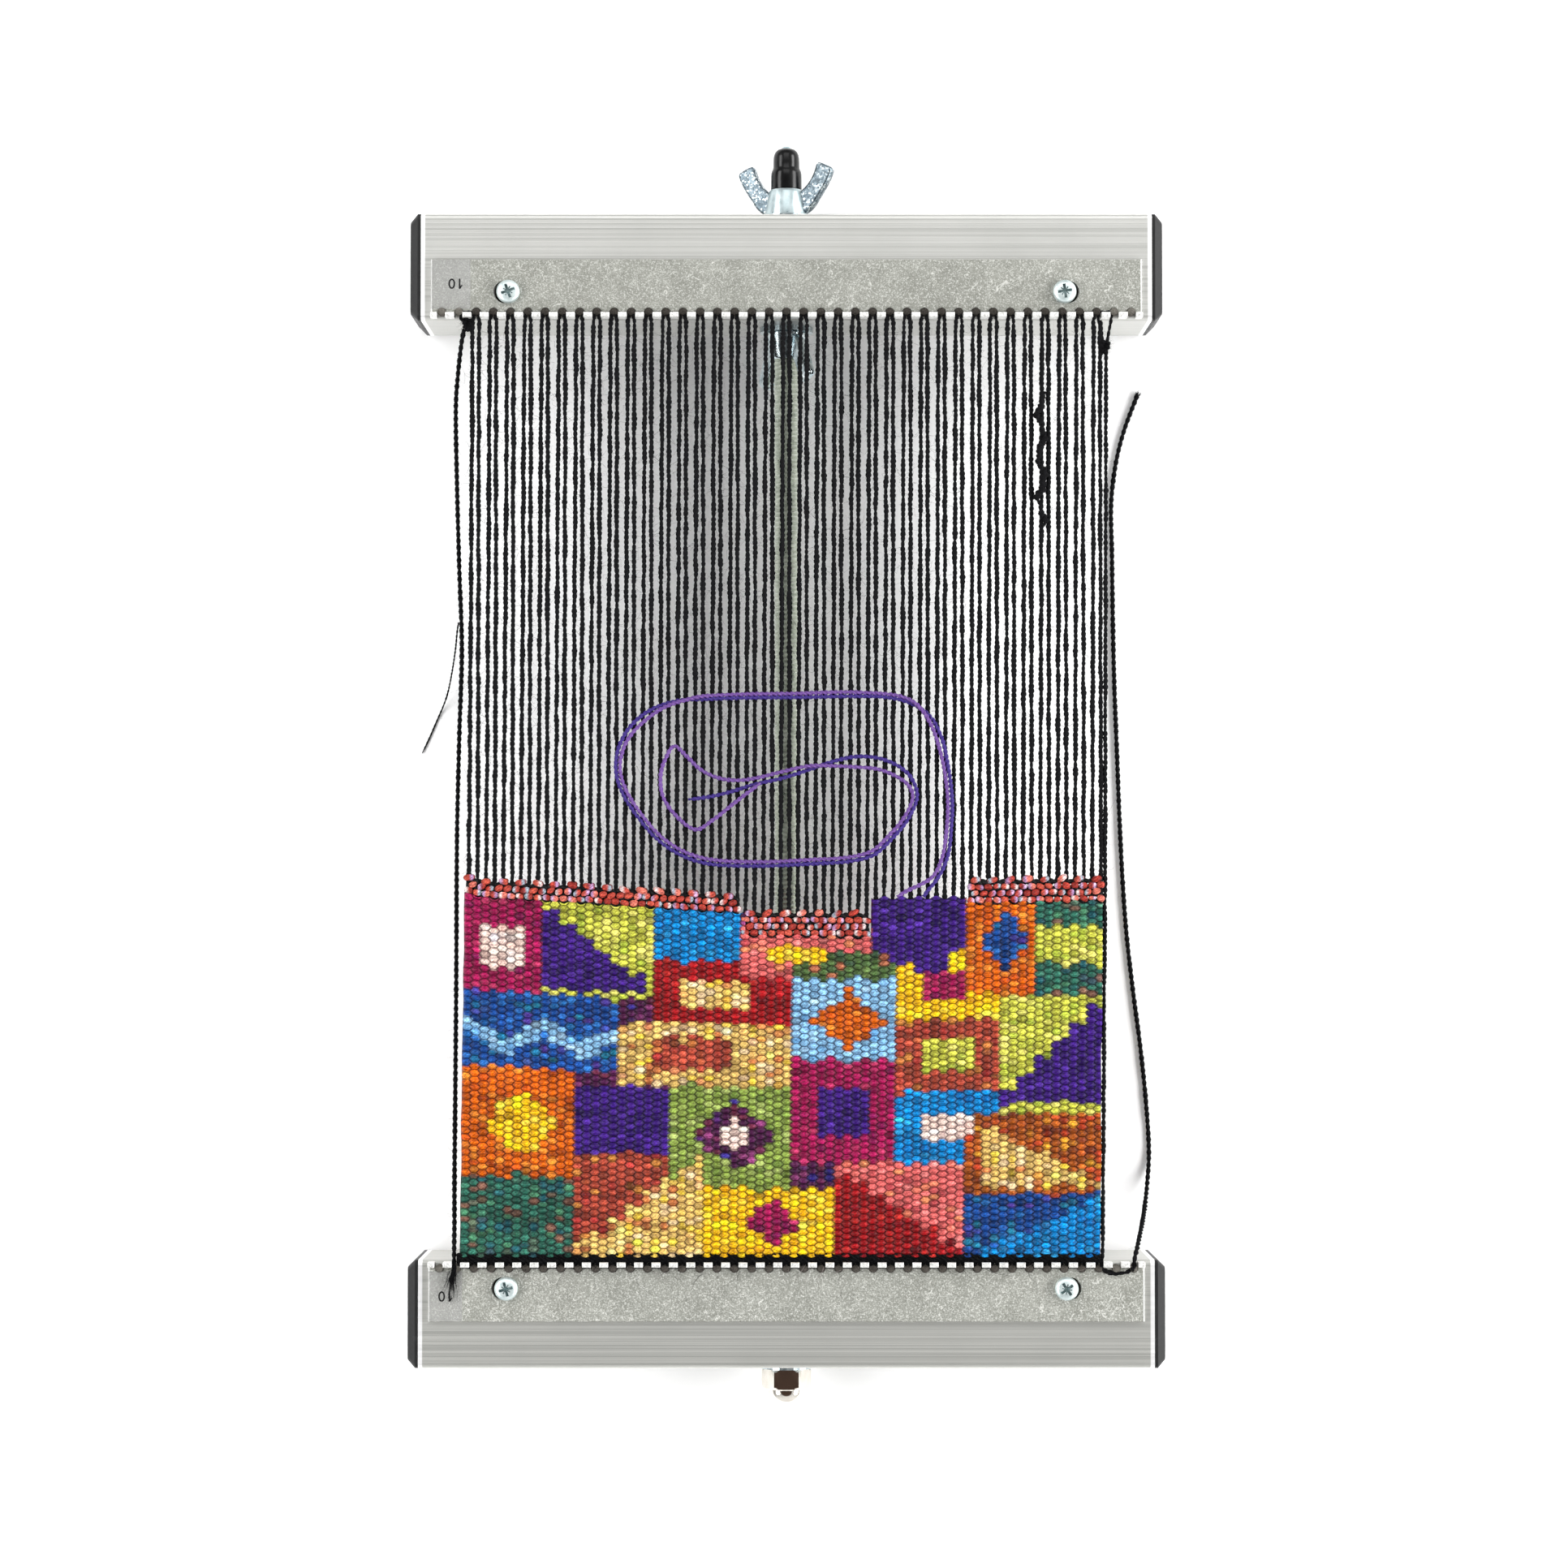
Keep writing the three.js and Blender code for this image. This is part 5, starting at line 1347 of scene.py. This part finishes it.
def screw(name, x, y, cross, body):
    """Pan-head screw with a cross recess and small tick marks between its arms."""
    profile = [(0.001, -5.2), (1.65, -5.2), (1.65, 0.0), (3.36, 0.0), (3.45, 0.1), (3.45, 0.85)]
    for t in np.linspace(0, 1, 9)[1:]:
        angle = t * math.pi / 2
        profile.append((3.45 * math.cos(angle) ** 0.62, 0.85 + 1.55 * math.sin(angle) ** 0.85))
    profile[-1] = (0.001, 2.4)
    verts, faces = lathe(profile, 40)
    mesh = bpy.data.meshes.new(name)
    mesh.from_pydata(upright(verts).tolist(), [], faces)
    turned_out(mesh)
    head = bpy.data.objects.new(name + "_head", mesh)
    bpy.context.scene.collection.objects.link(head)
    tools = []
    arm, tick = (4.2, 0.8, 1.5), (3.0, 0.34, 0.75)
    for turn, (long, wide, deep) in ((0, arm), (90, arm), (45, tick), (135, tick)):
        bpy.ops.mesh.primitive_cube_add(size=1)
        tool = bpy.context.object
        tool.scale = (long, wide, deep * 2)
        tool.rotation_euler = (0, 0, math.radians(turn + cross))
        tool.location = (0, 0, 2.3)
        tools.append(tool)
        cut = head.modifiers.new("recess", "BOOLEAN")
        cut.object = tool
        cut.operation = "DIFFERENCE"
        cut.solver = "EXACT"
    points, polygons = baked(head)
    for tool in tools:
        bpy.data.objects.remove(tool)
    seat = np.array([x, y, SEAT])
    points = points + seat
    piece = add_mesh(name + "_pan_head", moved(points), polygons, ZINC_HEAD, body, replaces=(name,))
    dome = np.array(profile[5:])

    def in_recess(polygon):
        centre = points[list(polygon.vertices)].mean(axis=0) - seat
        away = math.hypot(centre[0], centre[1])
        return away < 2.3 and 0 < centre[2] < np.interp(away, dome[::-1, 0], dome[::-1, 1]) - 0.12

    # painted shade: faces deep in the recess get the darker zinc
    mark(piece, RECESS_SHADE, filter(in_recess, piece.data.polygons))
    piece.data.set_sharp_from_angle(angle=math.radians(38))


comb("upper_comb", True)
comb("lower_comb", False)
screw("upper_left_screw", -SCREW_X, SCREW_Y, 20, "upper_assembly")
screw("upper_right_screw", SCREW_X, SCREW_Y, 8, "upper_assembly")
screw("lower_right_screw", SCREW_X, -SCREW_Y, 35, "base")
screw("lower_left_screw", -SCREW_X, -SCREW_Y, 15, "base")


LABEL_HIGH = 14.6


def label(name, x, y, wide, text_x, text_y, body):
    """Clear film with the comb's plain number, which reads from the comb's other side."""
    verts, faces = from_curve([rectangle(-wide / 2, wide / 2, -LABEL_HIGH / 2, LABEL_HIGH / 2)], 0.06, 0.01)
    add_mesh(name + "_film", moved(verts + np.array([x, y, COMB_TOP + 0.035])), faces, LABEL, body,
             smooth=False)
    one = [(-0.94, -1.5), (-0.94, 1.5), (-1.36, 1.5), (-2.0, 0.5), (-1.82, 0.28), (-1.36, 0.72), (-1.36, -1.5)]
    zero = [[(1.15 + rx * math.cos(t), ry * math.sin(t)) for t in np.linspace(0, 2 * math.pi, 41)[:-1]]
            for rx, ry in ((0.97, 1.52), (0.55, 1.1))]
    verts, faces = from_curve([one] + zero, 0.024, 0.0)
    verts = verts * np.array([-1, -1, 1]) + np.array([text_x, text_y, COMB_TOP + 0.085])
    add_mesh(name + "_number", moved(verts), faces, INK, body, smooth=False)


label("upper_label", -98.95, 148.7, 11.6, -97.5, 148.85, "upper_assembly")
label("lower_label", -99.85, -148.7, 9.8, -99.74, -148.75, "base")


# ---------------------------------------------------------------- metalwork on the rod
def threaded_rod():
    """The rod with its real helical thread, chamfered at both ends."""
    lead = 25.4 / 18          # 18 turns in an inch
    bottom, top = -178.6, 184.5
    per_turn = 18             # samples in a turn
    count = int((top - bottom) / lead * per_turn)
    theta = np.arange(count + per_turn + 1) * 2 * np.pi / per_turn
    crest = 3.97
    verts = []
    for radius, part in ((crest - 0.72, 0.0), (crest, 0.42), (crest, 0.58)):
        along = bottom + theta / (2 * np.pi) * lead + part * lead - lead
        near_end = np.minimum(along - bottom, top - along)
        r = np.minimum(radius, 3.2 + np.clip(near_end, 0, 5))
        verts.append(np.stack([r * np.cos(theta), np.clip(along, bottom, top), -r * np.sin(theta)], -1))
    i = np.arange(len(theta) - 1)
    faces = [np.stack([i * 3 + k, i * 3 + k + 1, (i + 1) * 3 + k + 1, (i + 1) * 3 + k], -1) for k in (0, 1)]
    i = i[:-per_turn]
    faces.append(np.stack([i * 3 + 2, (i + per_turn) * 3, (i + 1 + per_turn) * 3, (i + 1) * 3 + 2], -1))
    rod = Parts().add(np.stack(verts, 1).reshape(-1, 3), np.concatenate(faces).tolist())
    for y, turn in ((bottom, 1), (top, -1)):
        rod.add(*lathe([(0.001, y), (3.35, y), (3.35, y + turn * 0.5), (0.001, y + turn * 0.5)], 24))
    points = moved(rod.points() + np.array([0, 0, ROD_Z]))
    piece = add_mesh("rod_with_thread", points, rod.faces, ROD, "base", replaces=("threaded_rod",))
    piece.data.set_sharp_from_angle(angle=math.radians(50))


BORE = 4.07               # radius of the nuts' and the cap's bores
FLATS = 12.7              # the hexagons' width across their flats
CORNER = FLATS / math.sqrt(3)


def wing_nut(name, node, start, upside_down, turn, body):
    """Cast wing nut: a coned hub and two curled wings with rounded rims."""
    nut = Parts()
    hub = [(BORE, 0.0), (6.15, 0.0), (6.4, 0.25), (6.36, 1.2), (6.1, 3.0), (5.7, 5.2), (5.3, 7.2), (5.1, 7.75),
           (4.85, 8.0), (BORE + 0.35, 8.0), (BORE, 7.6), (BORE, 0.0)]
    verts, faces = lathe(hub, 48)
    nut.add(verts, faces[:-2])
    hub_faces = len(nut.faces)
    reach, tip = 14.75, 15.9
    root = 0.39 * 10.2 + 0.6

    def quadratic(a, b, c, steps):
        t = np.linspace(0, 1, steps + 1)[1:, None]
        a, b, c = map(np.array, (a, b, c))
        return [tuple(p) for p in (1 - t) ** 2 * a + 2 * t * (1 - t) * b + t ** 2 * c]

    outline = [(root, 0.6), (6.4, 0.8)]
    for bend, end, steps in (
            ((9.0, 2.2), (0.7 * reach, 0.31 * tip), 10),
            ((0.93 * reach, 0.6 * tip), (reach, 0.8 * tip), 10),
            ((1.02 * reach, 0.87 * tip), (0.96 * reach, 0.9 * tip), 5),
            ((0.84 * reach, 0.96 * tip), (0.75 * reach, 0.99 * tip), 5),
            ((0.69 * reach, 1.01 * tip), (0.66 * reach, 0.93 * tip), 5),
            ((0.58 * reach, 0.62 * tip), (root, 7.2), 10)):
        outline += quadratic(outline[-1], bend, end, steps)
    for mirror in (1, -1):
        verts, faces = from_curve([outline], 3.2, 0.7)
        nut.add(verts * np.array([mirror, 1, mirror]), faces)
    piece = add_mesh(name, on_rod(nut.points(), start, upside_down, turn), nut.faces,
                     ZINC_SMOOTH if upside_down else ZINC_CAST, body, replaces=(node,))
    mark(piece, ZINC_HUB, [] if upside_down else piece.data.polygons[:hub_faces])
    piece.data.set_sharp_from_angle(angle=math.radians(40))


def hex_form(profile):
    """A turned profile whose sides are cut by a hexagon."""
    segments = 72
    angle = np.arange(segments) * 2 * np.pi / segments
    hexagon = FLATS / 2 / np.cos((angle + np.pi / 6) % (np.pi / 3) - np.pi / 6)
    rings = []
    for radius, height, cut in profile:
        r = np.minimum(radius, hexagon) if cut else np.full(segments, radius)
        rings.append(np.stack([r * np.cos(angle), np.full(segments, height), r * np.sin(angle)], -1))
    return np.stack(rings).reshape(-1, 3), grid_faces(len(profile), segments)


def cap_nut():
    """Acorn nut: a chamfered hexagon and a polished dome."""
    profile = [(4.1, 0.0, False), (6.1, 0.0, True), (6.6, 0.12, True), (CORNER, 0.75, True),
               (CORNER, 5.3, True), (6.7, 5.85, True), (6.15, 6.2, True), (5.75, 6.25, False)]
    for t in np.linspace(0, 1, 17)[1:]:
        a = t * math.pi / 2
        profile.append((max(5.7 * math.cos(a) ** 0.92, 0.01), 6.25 + 5.15 * math.sin(a), False))
    verts, faces = hex_form(profile)
    piece = add_mesh("acorn_nut", on_rod(verts, -171.6, True, 30), faces, NICKEL, "base",
                     replaces=("cap_nut",))
    piece.data.set_sharp_from_angle(angle=math.radians(28))


def jam_nut():
    profile = [(4.1, 0.0, False), (6.1, 0.0, True), (6.6, 0.12, True), (CORNER, 0.7, True), (CORNER, 4.1, True),
               (6.6, 4.68, True), (6.1, 4.8, True), (4.1, 4.8, False), (4.1, 0.0, False)]
    verts, faces = hex_form(profile)
    piece = add_mesh("jam_nut", on_rod(verts, -(INNER - 1.5 - 0.1)), faces[:-2], ZINC, "base",
                     replaces=("lower_jam_nut",))
    piece.data.set_sharp_from_angle(angle=math.radians(28))


def vinyl_cap():
    """Dipped vinyl cap: a skirt, a soft step and a domed end with a small nib, which is painted pale blue-grey as a
    highlight.
    """
    start = 179.65
    outer = [(4.5, 0.0), (4.6, 0.15), (4.62, 0.6), (4.6, 3.8), (4.56, 5.0), (4.4, 5.7), (4.12, 6.25), (3.98, 6.8),
             (3.93, 8.2), (3.88, 9.6), (3.72, 10.6), (3.35, 11.5), (2.7, 12.15), (1.8, 12.5), (0.9, 12.6),
             (0.01, 12.6)]
    verts, faces = lathe([(BORE, 0.0)] + outer, 48)
    add_mesh("vinyl_cap", on_rod(verts, start), faces[:-2] + faces[-1:], VINYL, "tip_cap",
             replaces=("rod_cap",))
    # painted highlight: the nib's pale blue-grey colour is the light spot at the cap's tip
    nib, nib_faces = lathe([(0.01, 12.3), (1.35, 12.3), (1.35, 12.75), (1.1, 13.05), (0.6, 13.2), (0.01, 13.22)], 24)
    look = grained("nib_painted_highlight", linear(0x8FA6AC), 0.35, 0.0, (900.0,),
                   (0.3, linear(0x7E979E)), (0.7, linear(0xB4C5C8)))[0]
    add_mesh("vinyl_cap_nib", on_rod(nib, start), nib_faces, look.material, "tip_cap")


threaded_rod()
wing_nut("wing_nut_outer", "lock_wing_nut", 171.6, False, -20, "lock_nut")
wing_nut("wing_nut_inner", "tension_wing_nut", INNER - 1.6, True, -61, "tension_nut")
cap_nut()
jam_nut()
vinyl_cap()


# ---------------------------------------------------------------- CAD nodes that stay
def dress(node, material, width=0.0):
    """The CAD node's own mesh gets a look and, where a width is given, a small round on its edges."""
    piece = frame["nodes"][node]
    piece.data.materials.clear()
    piece.data.materials.append(material)
    if width:
        bevel = piece.modifiers.new("edges", "BEVEL")
        bevel.width = width * MM
        bevel.segments = 2
        bevel.limit_method = "ANGLE"
        bevel.angle_limit = math.radians(35)
        bevel.harden_normals = False


dress("upper_bar", BAR_UPPER)
dress("lower_bar", BAR_LOWER)
for place in ("upper_left", "upper_right", "lower_left", "lower_right"):
    dress(f"{place}_end_cap", PLASTIC, 0.25)
for place in ("upper_outer", "upper_inner", "lower_inner", "lower_outer"):
    dress(f"{place}_washer", ZINC, 0.18)


# ---------------------------------------------------------------- studio
def stage_floor():
    mesh = bpy.data.meshes.new("floor")
    size = 3.0
    mesh.from_pydata([(*corner, 0) for corner in rectangle(-size, size, -size, size)], [], [(0, 1, 2, 3)])
    floor = bpy.data.objects.new("floor", mesh)
    bpy.context.scene.collection.objects.link(floor)
    look = Look("floor_paper", (0.86, 0.86, 0.86, 1), 0.95, 0.0, Specular_IOR_Level=0.0)
    paths = look.node("ShaderNodeLightPath")
    seen = look.maths("MAXIMUM", paths.outputs["Is Camera Ray"], paths.outputs["Is Transmission Ray"])
    mirrored = look.maths("MULTIPLY", paths.outputs["Is Glossy Ray"], 0.4)
    glow = look.maths("ADD", look.maths("MULTIPLY", seen, 0.12), mirrored)
    look.shader.inputs["Emission Color"].default_value = (1, 1, 1, 1)
    look.link(glow, look.shader.inputs["Emission Strength"])
    mesh.materials.append(look.material)


def area_light(name, location, target, size, power):
    data = bpy.data.lights.new(name, "AREA")
    data.shape = "RECTANGLE"
    data.size, data.size_y = size
    data.energy = power
    light = bpy.data.objects.new(name, data)
    light.location = location
    light.rotation_euler = (Vector(target) - Vector(location)).to_track_quat("-Z", "Y").to_euler()
    bpy.context.scene.collection.objects.link(light)


def world():
    """White to the camera; a soft dome that is a little brighter towards the far end for the rest."""
    sky = bpy.data.worlds.new("studio")
    bpy.context.scene.world = sky
    sky.use_nodes = True
    sky.node_tree.nodes.clear()
    nodes = Nodes(sky.node_tree)

    def ranged(source, *limits):
        """A value between two limits carried over to two others."""
        node = nodes.node("ShaderNodeMapRange")
        nodes.feed((node.inputs["Value"], source), *zip(node.inputs[1:5], limits))
        return node.outputs["Result"]

    def chosen(factor, a, b):
        node = nodes.node("ShaderNodeMix")
        nodes.feed((node.inputs[0], factor), (node.inputs[2], a), (node.inputs[3], b))
        return node.outputs[0]

    paths = nodes.node("ShaderNodeLightPath").outputs
    place = nodes.split(nodes.node("ShaderNodeTexCoord").outputs["Generated"])
    dome = nodes.maths("MULTIPLY", ranged(place["Y"], -0.35, 0.4, 0.24, 0.6), ranged(place["X"], 0.15, 0.8, 1.0, 2.6))
    glossy = nodes.maths("ADD", dome, ranged(place["Y"], -0.5, -0.85, 0.0, 1.1))
    unseen = chosen(paths["Is Glossy Ray"], 0.32, glossy)
    background = nodes.node("ShaderNodeBackground")
    nodes.feed((background.inputs["Strength"], chosen(paths["Is Camera Ray"], unseen, 1.0)))
    nodes.link(background.outputs[0], nodes.node("ShaderNodeOutputWorld").inputs["Surface"])


stage_floor()
world()
area_light("left_softbox", (-1.05, 0.0, 0.79), (0, 0, 0.02), (1.9, 0.5), 25)
area_light("right_softbox", (1.15, 0.0, 0.6), (0, 0, 0.02), (1.9, 0.5), 36)
area_light("top_softbox", (0.0, 1.1, 1.3), (0, 0, 0), (1.2, 0.8), 7)
bpy.context.scene.view_settings.view_transform = "Standard"
